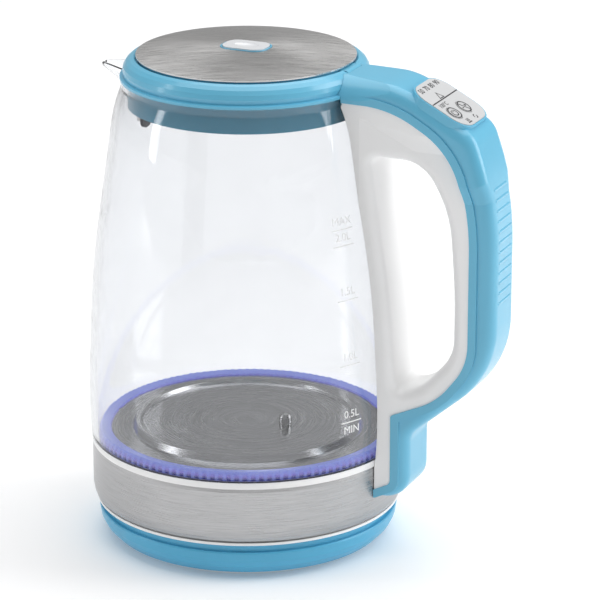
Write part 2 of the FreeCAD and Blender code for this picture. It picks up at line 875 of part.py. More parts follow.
def lid_body():
    """Moulded lid under the steel skin: flange, skirt, button well and hinge knuckle."""
    flange_top = LID_UNDERSIDE + 2.0
    skirt = S.lid_skirt_radius
    shell = turned("lid_shell", [
        (0, LID_UNDERSIDE),
        (skirt - S.wall, LID_UNDERSIDE),
        (skirt - S.wall, LID_FLOOR + 1.6),
        (skirt - 1.4, LID_FLOOR + 1.6),
        (skirt - 1.4, LID_FLOOR + 4.0),
        (skirt, LID_FLOOR + 4.0),
        (skirt, LID_UNDERSIDE),
        (S.lid_radius - 1.1, LID_UNDERSIDE),
        (S.lid_radius - 1.1, flange_top),
        (0, flange_top),
    ])
    knuckle = cylinder("lid_knuckle", S.knuckle_radius, S.knuckle_half_length * 2,
                       (S.hinge_x, -S.knuckle_half_length, S.hinge_z), ALONG_Y)
    arm = box("lid_arm", (46, -S.knuckle_half_length, LID_UNDERSIDE),
              (S.hinge_x, S.knuckle_half_length, S.hinge_z + S.knuckle_radius - 0.05))
    bore = cylinder("knuckle_bore", S.pin_radius + S.running_gap, 60.0,
                    (S.hinge_x, -30, S.hinge_z), ALONG_Y)
    well = raised("button_well", button_outline(-0.6), LID_UNDERSIDE - 1.0, flange_top + 1.0)
    slot = box("latch_slot", (-52, -4.3, LID_FLOOR + 4.6), (-44, 4.3, LID_FLOOR + 9.0))
    return cut("lid_body_part", fused("lid_body_sum", shell, knuckle, arm), bore, well, slot)


def lid_seal():
    return turned("lid_seal_part", [
        (S.lid_skirt_radius - 1.3, LID_FLOOR + 1.7),
        (S.lid_skirt_radius + 0.6, LID_FLOOR + 1.7),
        (S.lid_skirt_radius + 1.7, LID_FLOOR + 2.6),
        (S.lid_skirt_radius + 0.6, LID_FLOOR + 3.9),
        (S.lid_skirt_radius - 1.3, LID_FLOOR + 3.9),
    ])


def lid_inner_cover():
    disc = cylinder("inner_cover_disc", S.lid_skirt_radius - 0.1, 1.5, (0, 0, LID_FLOOR))
    post = cylinder("inner_cover_post", 2.6, 2.6, (0, 0, LID_FLOOR + 1.0))
    return fused("inner_cover_part", disc, post)


BUTTON_TOP = LID_RIM + 0.8 + S.lid_dome + 0.5


def button_bezel():
    low = LID_UNDERSIDE + 2.05
    outer = raised("bezel_outer", button_outline(0.0), low, BUTTON_TOP - 0.5)
    inner = raised("bezel_inner", button_outline(-0.8), low - 1.0, BUTTON_TOP + 1.0)
    return cut("button_bezel_part", outer, inner)


def lid_button():
    """The pressed cap with an oval dimple, and the stem under it."""
    low = LID_UNDERSIDE + 1.0
    cap = raised("button_cap", button_outline(-1.1), low, BUTTON_TOP)
    stem = cylinder("button_stem", 2.2, 5.0, (0, 0, low - 4.4))
    dimple = doc.addObject("Part::Ellipsoid", "button_dimple")
    dimple.Radius1 = 1.1
    dimple.Radius2 = 6.4
    dimple.Radius3 = 3.6
    place(dimple, 0, 0, BUTTON_TOP + 0.2)
    return cut("lid_button_part", fused("lid_button_sum", cap, stem), dimple)


def button_spring():
    """Coil between the lid's inner cover and the button."""
    low = LID_FLOOR + 1.9
    coil = coil_sleeve("button_spring_part", 3.0, 0.8, float(LID_UNDERSIDE + 0.6 - low), 6)
    return place(coil, 0, 0, low)


def lid_latch():
    """Sliding bolt that the button draws in to free the lid."""
    low = LID_FLOOR + 4.9
    high = LID_FLOOR + 8.7
    reach = S.lid_seat_radius - 2.9 - 0.3
    nose = -float(reach) + 0.01
    return smoothed("lid_latch_part", box("latch_bar", (-reach, -4, low), (-9.0, 4, high)),
                    lambda point: 1.2, lambda middle: middle.x < nose and abs(middle.y) < 1)


# ---------------------------------------------------------------- handle

# Places along X that follow the reach of the grip.
GRIP_INNER = S.handle_reach - S.grip_depth
PARTING = S.handle_reach - S.back_depth
PANEL_X = S.handle_reach - S.panel_inset


def parting_points():
    """Seam between the two handle shells, from the collar round to the foot."""
    edge = PARTING
    return [
        (S.collar_radius - 9.0, S.glass_mouth_height - 1.6, 0),
        (S.foot_x - 10.4, S.glass_mouth_height - 2.0, 50),
        (edge - 8.5, S.handle_top - 30.7, 40),
        (edge, S.handle_top - 64.2, 120),
        (edge, S.foot_z + 73.5, 30),
        (edge - 16.0, S.foot_z + 52.8, 38),
        (S.foot_x - 8.0, S.foot_z + 43.6, 1.5),
        (S.foot_x - 8.0, S.foot_z + 8.6, 3.0),
        (S.foot_x - 16.0, S.foot_z + 5.0, 0),
    ]


def outer_points():
    """Outside of the blue shell, from the collar over the grip to the foot's tip."""
    slope = math.tan(math.radians(float(S.panel_slope)))
    seat_z = S.panel_z - S.panel_proud
    crest_z = S.handle_top - S.crest_drop
    crest_x = PANEL_X - (crest_z - seat_z) / slope
    bend_x = PANEL_X + S.panel_length / 2 + 1.6
    bend_z = seat_z - (bend_x - PANEL_X) * slope
    reach = S.handle_reach
    return [(float(x), float(z), radius) for x, z, radius in (
        (S.collar_radius - 9.0, S.handle_top, 0),
        (crest_x, crest_z, 40.0),
        (bend_x, bend_z, 14.0),
        (reach, S.handle_top - 54.6, 140.0),
        (reach, S.foot_z + 69.5, 50.0),
        (S.foot_x, S.foot_z + 33.2, 9.0),
        (S.foot_x, S.foot_z, 12.0),
        (S.foot_x - 24.0, S.foot_z + 0.6, 0),
    )]


def hole_points():
    """Finger opening between the strap and the grip."""
    inner = GRIP_INNER
    strap = S.glass_belly_radius + S.strap_proud
    return [
        (strap - 13.6, S.handle_top - 37.0, 4.0),
        (inner - 16.0, S.handle_top - 39.2, 20.0),
        (inner - 3.0, S.handle_top - 61.7, 58.0),
        (inner, S.handle_top - 100.0, 280.0),
        (inner, S.foot_z + 76.5, 22.0),
        (inner - 17.0, S.foot_z + 57.5, 24.0),
        (strap - 0.6, S.foot_z + 55.0, 3.4),
        (strap - 3.4, S.foot_z + 98.0, 200.0),
    ]


def moved_outline(points, distance):
    """A closed outline with every side moved outwards (or inwards) by a distance."""
    corners = [(float(x), float(z), float(radius)) for x, z, radius in points]
    count = len(corners)
    area = sum(corners[i][0] * corners[(i + 1) % count][1]
               - corners[(i + 1) % count][0] * corners[i][1] for i in range(count))
    side = 1.0 if area > 0 else -1.0
    result = []
    for index, (x, z, radius) in enumerate(corners):
        x0, z0, _ = corners[index - 1]
        x1, z1, _ = corners[(index + 1) % count]
        a = Vector(x - x0, z - z0, 0).normalize()
        b = Vector(x1 - x, z1 - z, 0).normalize()
        normal_a = Vector(a.y, -a.x, 0) * side
        normal_b = Vector(b.y, -b.x, 0) * side
        step = (normal_a + normal_b) * (distance / (1 + normal_a.dot(normal_b)))
        turn = (a.x * b.y - a.y * b.x) * side
        fresh = radius + distance if turn > 0 else radius - distance
        result.append((x + step.x, z + step.y, max(fresh, 0.0) if radius else 0.0))
    return result


def clear_of_rings(name, gap):
    """The band, the trims and the collar, grown by a gap, for the handle to stay out of."""
    band = turned(name + "_band", [
        (0, COVER_TOP), (S.band_radius + gap, COVER_TOP), (S.band_radius + gap, BAND_TOP),
        (S.upper_trim_radius + gap, BAND_TOP), (S.upper_trim_radius + gap, GLASS_BOTTOM + gap),
        (0, GLASS_BOTTOM + gap)])
    collar = turned(name + "_collar", [
        (0, S.glass_mouth_height - 3.0),
        (S.glass_mouth_radius + 0.4 + gap, S.glass_mouth_height - 3.0),
        (S.glass_mouth_radius + 0.4 + gap, S.glass_mouth_height + 1.4),
        (S.collar_radius - 0.4 + gap, S.glass_mouth_height + 1.8),
        (S.collar_radius + gap, S.glass_mouth_height + 4.2),
        (S.collar_radius - 0.4 + gap, S.glass_mouth_height + 6.4),
        (S.collar_radius - 1.6 + gap, S.glass_mouth_height + 8.4),
        (S.collar_radius - 3.4 + gap, S.collar_height - 0.7),
        (S.lid_seat_radius + 0.8 + gap, S.collar_height + 2.0),
        (0, S.collar_height + 2.0)])
    return [band, collar]


def clear_of_kettle(name, gap):
    """The rings and the glass, grown by a gap."""
    return clear_of_rings(name, gap) + [glass_shape(name + "_glass", float(gap))]


def handle_cavity(name):
    """Hollow run for the board and the wires, from the panel down to the foot."""
    outer = moved_outline(outer_points(), -float(S.wall))
    seam_low = (float(S.foot_x) - 24.0, float(S.foot_z) + 4.0, 0)
    outer = outer[:-1] + [seam_low]
    bounds = padded(name + "_outer", outer, S.cavity_half_width * 2)
    hole = moved_outline(hole_points(), float(S.wall))
    left = float(S.collar_radius) - 30.0
    strap_foot = (*hole[6][:2], 0)
    block = [(left, hole[0][1], 0), *hole[1:6], strap_foot, (left, hole[6][1], 0)]
    inner = padded(name + "_inner", block, S.cavity_half_width * 4)
    return cut(name, bounds, inner, *clear_of_kettle(name + "_wall", S.wall + 0.3))


def side_trim(name, less, low):
    """Solid that gives the handle its width: wide at the collar, slim along the grip and wider
    again under the panel, above a height; narrower all over by the given amount."""
    near = S.collar_radius - 14.0
    taper = S.foot_x + 2.0
    far = S.handle_reach + 20.0
    root = S.handle_root_half_width - less
    widths = {"grip": S.handle_half_width - less, "neck": S.handle_neck_half_width - less}
    prisms = {}
    for part, half in widths.items():
        outline = [(near, -root, 0), (taper - 26.0, -root, 0), (taper, -half, 30),
                   (far, -half, 0), (far, half, 0), (taper, half, 30),
                   (taper - 26.0, root, 0), (near, root, 0)]
        prisms[part] = raised(f"{name}_{part}", outline, 0.0, 260.0)
    slim = widths["grip"] - 1.0
    high = low + S.neck_rise
    wedge = padded(name + "_wedge", [
        (-slim, low - 6.0, 0), (slim, low - 6.0, 0), (root + 2.0, high, 20),
        (root + 2.0, 260, 0), (-root - 2.0, 260, 0), (-root - 2.0, high, 20)], 400.0, "YZ_Plane")
    return fused(name, prisms["grip"], common(name + "_wide", prisms["neck"], wedge))


def arch_prism():
    """Round-topped tunnel that arches the handle's root where it meets the collar."""
    half = S.handle_root_half_width + 0.5
    top = S.handle_top + 0.1
    outline = [(-half, 0, 0), (half, 0, 0), (half, top, S.arch_rounding), (-half, top, S.arch_rounding)]
    return padded("arch_prism", outline, 400.0, "YZ_Plane")


def panel_placement(along=0.0, across=0.0, above=0.0):
    """Frame on the panel's face: x down the slope, y across, z out of it."""
    turn = Rotation(Vector(0, 1, 0), float(S.panel_slope))
    base = Vector(float(PANEL_X), 0, float(S.panel_z))
    return Placement(base + turn.multVec(Vector(float(along), float(across), float(above))), turn)


def panel_outline(grow=0.0):
    half_x = S.panel_length / 2 + grow
    half_y = S.panel_width / 2 + grow
    radius = 9.0 + grow
    return [(-half_x, -half_y, radius), (half_x, -half_y, radius), (half_x, half_y, radius),
            (-half_x, half_y, radius)]


def on_panel(name, outline, low, high):
    """An outline standing on the panel's plane between two heights above it."""
    solid = padded(name, outline, high - low, "XY_Plane", both=False)
    solid.Placement = panel_placement(0, 0, low)
    return solid


def key_hole(name, across, radius):
    hole = doc.addObject("Part::Cylinder", name)
    bind(hole, "Radius", radius)
    hole.Height = 30.0
    hole.Placement = panel_placement(S.key_along, across, -12.0)
    return hole


def outer_shell():
    """Blue back of the handle: arched over the collar, down the grip and into the foot."""
    region = list(outer_points()) + [(float(x), float(z), r) for x, z, r in
                                     reversed(parting_points())]
    block = padded("outer_region", region, S.handle_root_half_width * 2 + 8)
    slim = common("outer_slim", block,
                  side_trim("outer_sides", S.lip_step, S.neck_low))
    skin = smoothed("outer_round", slim, lambda point: float(S.shell_rounding), on_outer_edge)
    lip = common("outer_lip", block,
                 padded("lip_region", moved_outline(inner_region(), float(S.lip_width)),
                        S.handle_root_half_width * 2 + 8),
                 side_trim("lip_sides", 0.0, S.neck_low))
    arched = common("outer_arched", fused("outer_lipped", skin, lip), arch_prism())
    pad = on_panel("panel_pad", panel_outline(0.9), -7.0, S.panel_proud - 0.3)
    seat = on_panel("panel_seat", panel_outline(0.1), S.panel_proud - S.panel_thickness, 20.0)
    keys = [key_hole("power_key_pass", S.power_key_y, S.key_radius + 0.3),
            key_hole("heat_key_pass", S.heat_key_y, S.key_radius + 0.3)]
    half = S.knuckle_half_length + 0.3
    pocket = cylinder("handle_hinge_pocket", S.knuckle_radius + 0.4, half * 2,
                      (S.hinge_x, -half, S.hinge_z), ALONG_Y)
    return cut("handle_outer_shell_part", fused("outer_sum", arched, pad, *grip_ribs()),
               handle_cavity("outer_cavity"), seat, *keys, pocket, *clear_of_rings("outer_clear", 0.2))


def grip_ribs():
    """Low raised lines across the back of the grip, rounded at both ends."""
    radius = 1.1
    half = float(S.rib_half_length)
    back = Part.Wire([edge.toShape() for edge in rounded(outer_points())])
    ribs = []
    for index in range(int(float(S.rib_count))):
        height = float(S.rib_top - S.rib_pitch * index)
        level = Part.LineSegment(Vector(GRIP_INNER, height, 0), Vector(200, height, 0))
        crossing = level.toShape().distToShape(back)[1][0][0]
        at = (crossing.x - radius + float(S.rib_proud), -half, height)
        ribs.append(cylinder(f"grip_rib_{index}", radius, half * 2, at, ALONG_Y))
        for side in (-half, half):
            end = doc.addObject("Part::Sphere", f"grip_rib_end_{index}")
            end.Radius = radius
            ribs.append(place(end, at[0], side, height))
    return ribs


def distance_to(points, middle):
    """How far a point lies from an outline drawn in the handle's own plane."""
    wire = Part.Wire([edge.toShape() for edge in rounded(points)])
    return wire.distToShape(Part.Vertex(Vector(middle.x, middle.z, 0)))[0]


def on_outer_edge(middle):
    """Edges along the outside of the blue shell, on both of its sides."""
    beside = abs(middle.y) > float(S.handle_half_width - S.lip_step) - 0.2
    at_foot_back = middle.z < float(S.handle_top) - 20.0 and middle.x < float(S.foot_x) - 26.0
    return beside and not at_foot_back and distance_to(outer_points(), middle) < 0.3


def inner_region():
    """Everything inside the seam, as far in as the kettle's wall."""
    seam = [(float(x), float(z), radius) for x, z, radius in parting_points()]
    return [*seam, (float(S.collar_radius) - 9.0, seam[-1][1], 0)]


def inner_shell():
    """White inside of the handle with the strap down the glass."""
    block = padded("inner_region", inner_region(), S.handle_root_half_width * 2 + 8)
    opening = padded("finger_opening", hole_points(), 80.0)
    loop = cut("inner_loop", block, opening)
    arms = common("inner_slim", loop, side_trim("inner_sides", 0.6, S.handle_top - 30.0))
    soft = smoothed("inner_round", arms, lambda point: 5.0, on_hole_edge)
    return cut("handle_inner_shell_part", soft, handle_cavity("inner_cavity"),
               *clear_of_kettle("inner_clear", 0.3))


def on_hole_edge(middle):
    """Edges round the finger opening, on both sides of the handle."""
    beside = abs(middle.y) > float(S.handle_half_width) - 1.0
    return beside and distance_to(hole_points(), middle) < 0.2


def control_panel():
    plate = on_panel("panel_plate", panel_outline(), S.panel_proud - S.panel_thickness + 0.02,
                     S.panel_proud)
    keys = [key_hole("power_key_hole", S.power_key_y, S.key_radius + 0.2),
            key_hole("heat_key_hole", S.heat_key_y, S.key_radius + 0.2)]
    return cut("control_panel_part", plate, *keys)


def key(name, across):
    """A round key with a wider foot under the panel that stops it coming out."""
    face = doc.addObject("Part::Cylinder", name + "_face")
    bind(face, "Radius", S.key_radius)
    face.Height = 3.4
    face.Placement = panel_placement(S.key_along, across, float(S.panel_proud) + 0.3 - 3.4)
    return face


def control_board():
    length = S.panel_length - 6.0
    board = doc.addObject("Part::Box", "board_plate")
    bind(board, "Length", length)
    bind(board, "Width", S.cavity_half_width * 2 - 1.6)
    board.Height = 1.6
    board.Placement = panel_placement(-length / 2, 0.8 - S.cavity_half_width, -7.0)
    parts = []
    for index, (along, across, size) in enumerate(((-8, -5, 5), (-8, 3, 4), (2, -3, 6))):
        chip = doc.addObject("Part::Box", f"board_chip_{index}")
        chip.Length = size
        chip.Width = size
        chip.Height = 1.5
        chip.Placement = panel_placement(along, across, -8.45)
        parts.append(chip)
    switches = []
    for index, across in enumerate((S.power_key_y, S.heat_key_y)):
        switch = doc.addObject("Part::Cylinder", f"board_switch_{index}")
        switch.Radius = 1.8
        switch.Height = 1.5
        switch.Placement = panel_placement(S.key_along, across, -5.45)
        switches.append(switch)
    return fused("control_board_part", board, *parts, *switches)


def main():
    node("base_housing", base_housing())
    node("cord_gland", cord_gland())
    node("base_bottom_plate", base_plate())
    node("base_feet", base_feet())
    node("base_screws", base_screws())
    node("connector_tower", connector_tower())
    node("connector_contacts", base_contacts())
    node("bottom_cover", bottom_cover())
    node("bottom_cover_screws", cover_screws())
    node("socket_housing", socket_housing())
    node("socket_contacts", socket_contacts())
    node("thermostat_unit", control_unit())
    node("lower_trim_ring", lower_trim())
    node("steel_band", steel_band())
    node("upper_trim_ring", upper_trim())
    node("heating_plate", heating_plate())
    node("heat_spreader", heat_spreader())
    node("heating_element", heating_element())
    node("temperature_sensor", temperature_sensor())
    node("plate_seal", plate_seal())
    node("light_ring", light_ring())
    node("led_board", led_board())
    node("leds", leds())
    node("glass_body", glass_body())
    node("top_collar", top_collar())
    node("lid_hinge_pin", hinge_pin())
    node("lid_hinge_springs", hinge_springs())
    node("spout_filter_frame", filter_frame())
    node("spout_filter_mesh", filter_mesh())
    node("lid_plate", lid_plate())
    node("lid_body", lid_body())
    node("lid_seal", lid_seal())
    node("lid_inner_cover", lid_inner_cover())
    node("lid_button_bezel", button_bezel())
    node("lid_button", lid_button())
    node("lid_button_spring", button_spring())
    node("lid_latch", lid_latch())
    node("handle_outer_shell", outer_shell())
    node("handle_inner_shell", inner_shell())
    node("control_panel", control_panel())
    node("power_button", key("power_key", S.power_key_y))
    node("temperature_button", key("heat_key", S.heat_key_y))
    node("control_board", control_board())
    doc.recompute()
    faults = [item.Name for item in doc.Objects
              if "Invalid" in item.State or "Error" in item.State]
    for name, feature in NODES.items():
        if feature.Shape.isNull() or not feature.Shape.isValid() or not feature.Shape.Solids:
            faults.append(name)
    if faults:
        raise RuntimeError("not built: " + ", ".join(faults))
    os.makedirs("parts", exist_ok=True)
    for name, feature in NODES.items():
        feature.Shape.exportStep(f"parts/{name}.step")
        print(name, len(feature.Shape.Solids), round(feature.Shape.Volume))


main()
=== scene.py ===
"""Electric kettle: finishes, print, springs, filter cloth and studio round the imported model."""

import logging
import math
from dataclasses import dataclass
from enum import Enum
from typing import Callable, Iterable, Sequence, Union

import bpy
from mathutils import Matrix, Vector


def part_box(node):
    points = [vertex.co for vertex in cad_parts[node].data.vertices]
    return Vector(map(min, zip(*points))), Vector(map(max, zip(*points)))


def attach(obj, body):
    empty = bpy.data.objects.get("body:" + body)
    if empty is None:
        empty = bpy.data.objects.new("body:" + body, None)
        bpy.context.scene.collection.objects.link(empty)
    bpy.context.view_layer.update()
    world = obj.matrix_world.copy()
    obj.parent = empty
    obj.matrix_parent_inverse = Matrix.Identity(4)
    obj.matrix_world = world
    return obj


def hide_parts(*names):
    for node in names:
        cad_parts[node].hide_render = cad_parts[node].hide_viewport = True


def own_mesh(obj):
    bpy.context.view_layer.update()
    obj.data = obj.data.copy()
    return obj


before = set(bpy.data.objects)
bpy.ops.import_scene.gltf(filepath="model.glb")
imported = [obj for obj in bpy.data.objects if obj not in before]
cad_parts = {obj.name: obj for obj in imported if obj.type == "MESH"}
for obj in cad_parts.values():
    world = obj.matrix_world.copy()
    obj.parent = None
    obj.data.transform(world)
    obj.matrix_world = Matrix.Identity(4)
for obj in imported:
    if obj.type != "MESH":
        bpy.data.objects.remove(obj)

LOG = logging.getLogger("kettle")
MM = 0.001
Value = Union[float, Sequence[float], bpy.types.NodeSocket]
Colour = tuple[float, float, float]


def shade(red: int, green: int, blue: int) -> Colour:
    """Linear colour from the three display values of a paint sample.

    Args:
        red: Red, 0 to 255.
        green: Green, 0 to 255.
        blue: Blue, 0 to 255.

    Returns:
        The same colour in linear light.
    """
    linear = []
    for value in (red / 255, green / 255, blue / 255):
        linear.append(value / 12.92 if value <= 0.04045 else ((value + 0.055) / 1.055) ** 2.4)
    return linear[0], linear[1], linear[2]


class Body(Enum):
    """Bodies that a new piece can ride on."""

    KETTLE = "kettle"
    LID = "lid"
    POWER_KEY = "power_button"
    HEAT_KEY = "temperature_button"


class Brushing(Enum):
    """Ways in which the steel parts are brushed."""

    AROUND = "around the kettle"
    STRAIGHT = "straight across the lid"
    RINGS = "in rings about the middle"


# ---------------------------------------------------------------- finishes


class Graph:
    """A material's node tree, with short ways to add the nodes that the finishes share."""

    def __init__(self, name: str) -> None:
        """Start a material whose shader is still plain."""
        self.material = bpy.data.materials.new(name)
        self.material.use_nodes = True
        self.tree = self.material.node_tree
        self.shader = self.tree.nodes["Principled BSDF"]
        self.place = self.tree.nodes.new("ShaderNodeTexCoord").outputs["Object"]

    def add(self, kind: str, sockets: dict, **settings: object) -> bpy.types.Node:
        """Add a node.

        Args:
            kind: Node type.
            sockets: Value or source for each named or numbered input.
            settings: Properties of the node itself.

        Returns:
            The new node.
        """
        node = self.tree.nodes.new(kind)
        for name, value in settings.items():
            setattr(node, name, value)
        for key, value in sockets.items():
            if isinstance(value, bpy.types.NodeSocket):
                self.tree.links.new(value, node.inputs[key])
            else:
                node.inputs[key].default_value = value
        return node

    def set(self, **sockets: Value) -> None:
        """Fill the shader's inputs; an underscore in a name stands for a space."""
        for name, value in sockets.items():
            socket = self.shader.inputs[name.replace("_", " ")]
            if isinstance(value, bpy.types.NodeSocket):
                self.tree.links.new(value, socket)
            else:
                socket.default_value = value

    def noise(self, scale: float, detail: float = 2.0, stretch: Sequence[float] = (1, 1, 1),
              turn: float = 0.0) -> bpy.types.NodeSocket:
        """Noise over the piece.

        Args:
            scale: Cells in a metre.
            detail: Octaves.
            stretch: How much finer the noise is along each axis.
            turn: Angle about the upright axis, in radians.

        Returns:
            The noise value, from 0 to 1.
        """
        spot = self.add("ShaderNodeMapping", {"Vector": self.place, "Rotation": (0, 0, turn)})
        spread = self.add("ShaderNodeMapping", {"Vector": spot.outputs[0], "Scale": stretch})
        made = self.add("ShaderNodeTexNoise", {"Vector": spread.outputs[0], "Scale": scale,
                                               "Detail": detail})
        return made.outputs["Fac"]

    def spread(self, source: bpy.types.NodeSocket, low: float, high: float) -> bpy.types.NodeSocket:
        """The middle of a noise value, spread between two values."""
        made = self.add("ShaderNodeMapRange", {"Value": source, "From Min": 0.3, "From Max": 0.7,
                                               "To Min": low, "To Max": high})
        return made.outputs["Result"]

    def blend(self, share: Value, first: Colour, second: Colour) -> bpy.types.NodeSocket:
        """Colour between two, by a share."""
        made = self.add("ShaderNodeMix", {0: share, 6: (*first, 1), 7: (*second, 1)},
                        data_type="RGBA")
        return made.outputs[2]

    def bump(self, height: bpy.types.NodeSocket, depth: float, strength: float = 1.0) -> None:
        """Raise the surface by a height map, depth in metres."""
        made = self.add("ShaderNodeBump", {"Height": height, "Distance": depth,
                                           "Strength": strength})
        self.set(Normal=made.outputs[0])


def darker(colour: Colour, share: float) -> Colour:
    """The colour with its light cut by a share."""
    return colour[0] * (1 - share), colour[1] * (1 - share), colour[2] * (1 - share)


@dataclass(frozen=True)
class Moulded:
    """Moulded plastic or rubber with a fine mould grain and slight flow marks."""

    name: str
    colour: Colour
    roughness: float = 0.32
    grain: float = 2600.0
    depth: float = 0.00002
    drift: float = 0.05
    coat: float = 0.0
    subsurface: float = 0.0

    def material(self) -> bpy.types.Material:
        """Build the material."""
        graph = Graph(self.name)
        flow = graph.noise(26.0, 3.0, (1, 1, 0.5))
        fine = graph.noise(self.grain, 2.0)
        graph.set(Base_Color=graph.blend(graph.spread(flow, 0, 1), self.colour,
                                         darker(self.colour, self.drift)),
                  Roughness=graph.spread(graph.noise(70.0, 4.0), self.roughness - 0.04,
                                         self.roughness + 0.04),
                  Coat_Weight=self.coat, Coat_Roughness=0.12,
                  Subsurface_Weight=self.subsurface, Subsurface_Scale=0.002)
        graph.bump(fine, self.depth, 0.35)
        return graph.material


@dataclass(frozen=True)
class Brushed:
    """Brushed steel or aluminium, its lines laid in one of three ways."""

    name: str
    colour: Colour
    lay: Brushing
    roughness: float = 0.3
    streak: float = 0.22
    anisotropy: float = 0.6
    fineness: float = 2300.0
    turn: float = 0.0

    def lines(self, graph: Graph) -> bpy.types.NodeSocket:
        """The brushed lines as a value from 0 to 1."""
        if self.lay is Brushing.AROUND:
            return graph.noise(self.fineness, 3.0, (0.03, 0.03, 1.0))
        if self.lay is Brushing.STRAIGHT:
            return graph.noise(self.fineness, 3.0, (0.025, 1.0, 0.2), self.turn)
        far = graph.add("ShaderNodeVectorMath", {0: graph.place}, operation="LENGTH")
        spot = graph.add("ShaderNodeVectorMath", {0: graph.place, 1: (0.02, 0.02, 0.02)},
                         operation="MULTIPLY")
        rings = graph.add("ShaderNodeTexNoise", {
            "Vector": spot.outputs[0], "W": far.outputs["Value"], "Scale": self.fineness,
            "Detail": 3.0}, noise_dimensions="4D")
        return rings.outputs["Fac"]

    def material(self) -> bpy.types.Material:
        """Build the material."""
        graph = Graph(self.name)
        lines = self.lines(graph)
        smudge = graph.spread(graph.noise(30.0, 3.0), -0.03, 0.03)
        rough = graph.add("ShaderNodeMath", {0: graph.spread(lines, self.roughness - 0.07,
                                                             self.roughness + 0.09), 1: smudge})
        graph.set(Metallic=1.0, Anisotropic=self.anisotropy,
                  Base_Color=graph.blend(graph.spread(lines, 0, 1),
                                         darker(self.colour, self.streak), self.colour),
                  Roughness=rough.outputs[0])
        if self.lay is not Brushing.STRAIGHT:
            tangent = graph.add("ShaderNodeTangent", {}, direction_type="RADIAL", axis="Z")
            graph.set(Tangent=tangent.outputs[0])
        graph.bump(lines, 0.00002, 0.25)
        return graph.material


@dataclass(frozen=True)
class Metal:
    """Turned, stamped or plated metal with faint handling marks."""

    name: str
    colour: Colour
    roughness: float = 0.25
    marks: float = 0.12

    def material(self) -> bpy.types.Material:
        """Build the material."""
        graph = Graph(self.name)
        rub = graph.noise(420.0, 4.0)
        stain = graph.noise(90.0, 3.0)
        graph.set(Metallic=1.0,
                  Base_Color=graph.blend(graph.spread(stain, 0, 1), self.colour,
                                         darker(self.colour, self.marks)),
                  Roughness=graph.spread(rub, self.roughness - 0.06, self.roughness + 0.1))
        graph.bump(rub, 0.00003, 0.2)
        return graph.material


@dataclass(frozen=True)
class Clear:
    """Glass, with its own slight tint along the path of light."""

    name: str
    colour: Colour
    ior: float = 1.46
    roughness: float = 0.0
    tint: Colour = (0.75, 0.85, 0.95)
    density: float = 0.0

    def material(self) -> bpy.types.Material:
        """Build the material."""
        graph = Graph(self.name)
        film = graph.noise(55.0, 3.0)
        graph.set(Base_Color=graph.blend(graph.spread(film, 0, 1), self.colour,
                                         darker(self.colour, 0.015)),
                  Roughness=graph.spread(film, self.roughness, self.roughness + 0.02),
                  IOR=self.ior, Transmission_Weight=1.0)
        if self.density > 0:
            inside = graph.add("ShaderNodeVolumeAbsorption", {"Color": (*self.tint, 1),
                                                              "Density": self.density})
            graph.tree.links.new(inside.outputs[0],
                                 graph.tree.nodes["Material Output"].inputs["Volume"])
        return graph.material


@dataclass(frozen=True)
class Glowing:
    """A lit piece: its own pale body colour and the light that it gives off."""

    name: str
    colour: Colour
    light: Colour
    strength: float

    def material(self) -> bpy.types.Material:
        """Build the material."""
        graph = Graph(self.name)
        cloud = graph.noise(140.0, 2.0)
        graph.set(Base_Color=graph.blend(graph.spread(cloud, 0, 1), self.colour,
                                         darker(self.colour, 0.2)),
                  Roughness=graph.spread(cloud, 0.2, 0.35),
                  Emission_Color=(*self.light, 1), Emission_Strength=self.strength)
        return graph.material


@dataclass(frozen=True)
class LitRing:
    """Light guide: dark blue at its foot, violet on its wall and pale on top, with ticks."""

    name: str
    foot: Colour
    wall: Colour
    top: Colour
    low: float
    high: float
    ticks: int
    strength: float

    def material(self) -> bpy.types.Material:
        """Build the material."""
        graph = Graph(self.name)
        parts = graph.add("ShaderNodeSeparateXYZ", {0: graph.place})
        rise = graph.add("ShaderNodeMapRange", {"Value": parts.outputs["Z"],
                                                "From Min": self.low, "From Max": self.high})
        ramp = graph.add("ShaderNodeValToRGB", {0: rise.outputs[0]})
        stops = ramp.color_ramp.elements
        stops[0].color, stops[1].color = (*self.foot, 1), (*self.top, 1)
        stops[0].position, stops[1].position = 0.12, 0.92
        middle = stops.new(0.45)
        middle.color = (*self.wall, 1)
        turn = graph.add("ShaderNodeMath", {0: parts.outputs["Y"], 1: parts.outputs["X"]},
                         operation="ARCTAN2")
        count = graph.add("ShaderNodeMath", {0: turn.outputs[0], 1: float(self.ticks)},
                          operation="MULTIPLY")
        wave = graph.add("ShaderNodeMath", {0: count.outputs[0]}, operation="SINE")
        share = graph.add("ShaderNodeMapRange", {"Value": wave.outputs[0], "From Min": -0.4,
                                                 "From Max": 0.6, "To Min": 0.0, "To Max": 0.5})
        shown = graph.add("ShaderNodeMix", {0: share.outputs[0], 6: ramp.outputs[0],
                                            7: (*self.top, 1)}, data_type="RGBA")
        graph.set(Base_Color=shown.outputs[2], Roughness=0.18,
                  Emission_Color=shown.outputs[2], Emission_Strength=self.strength)
        return graph.material


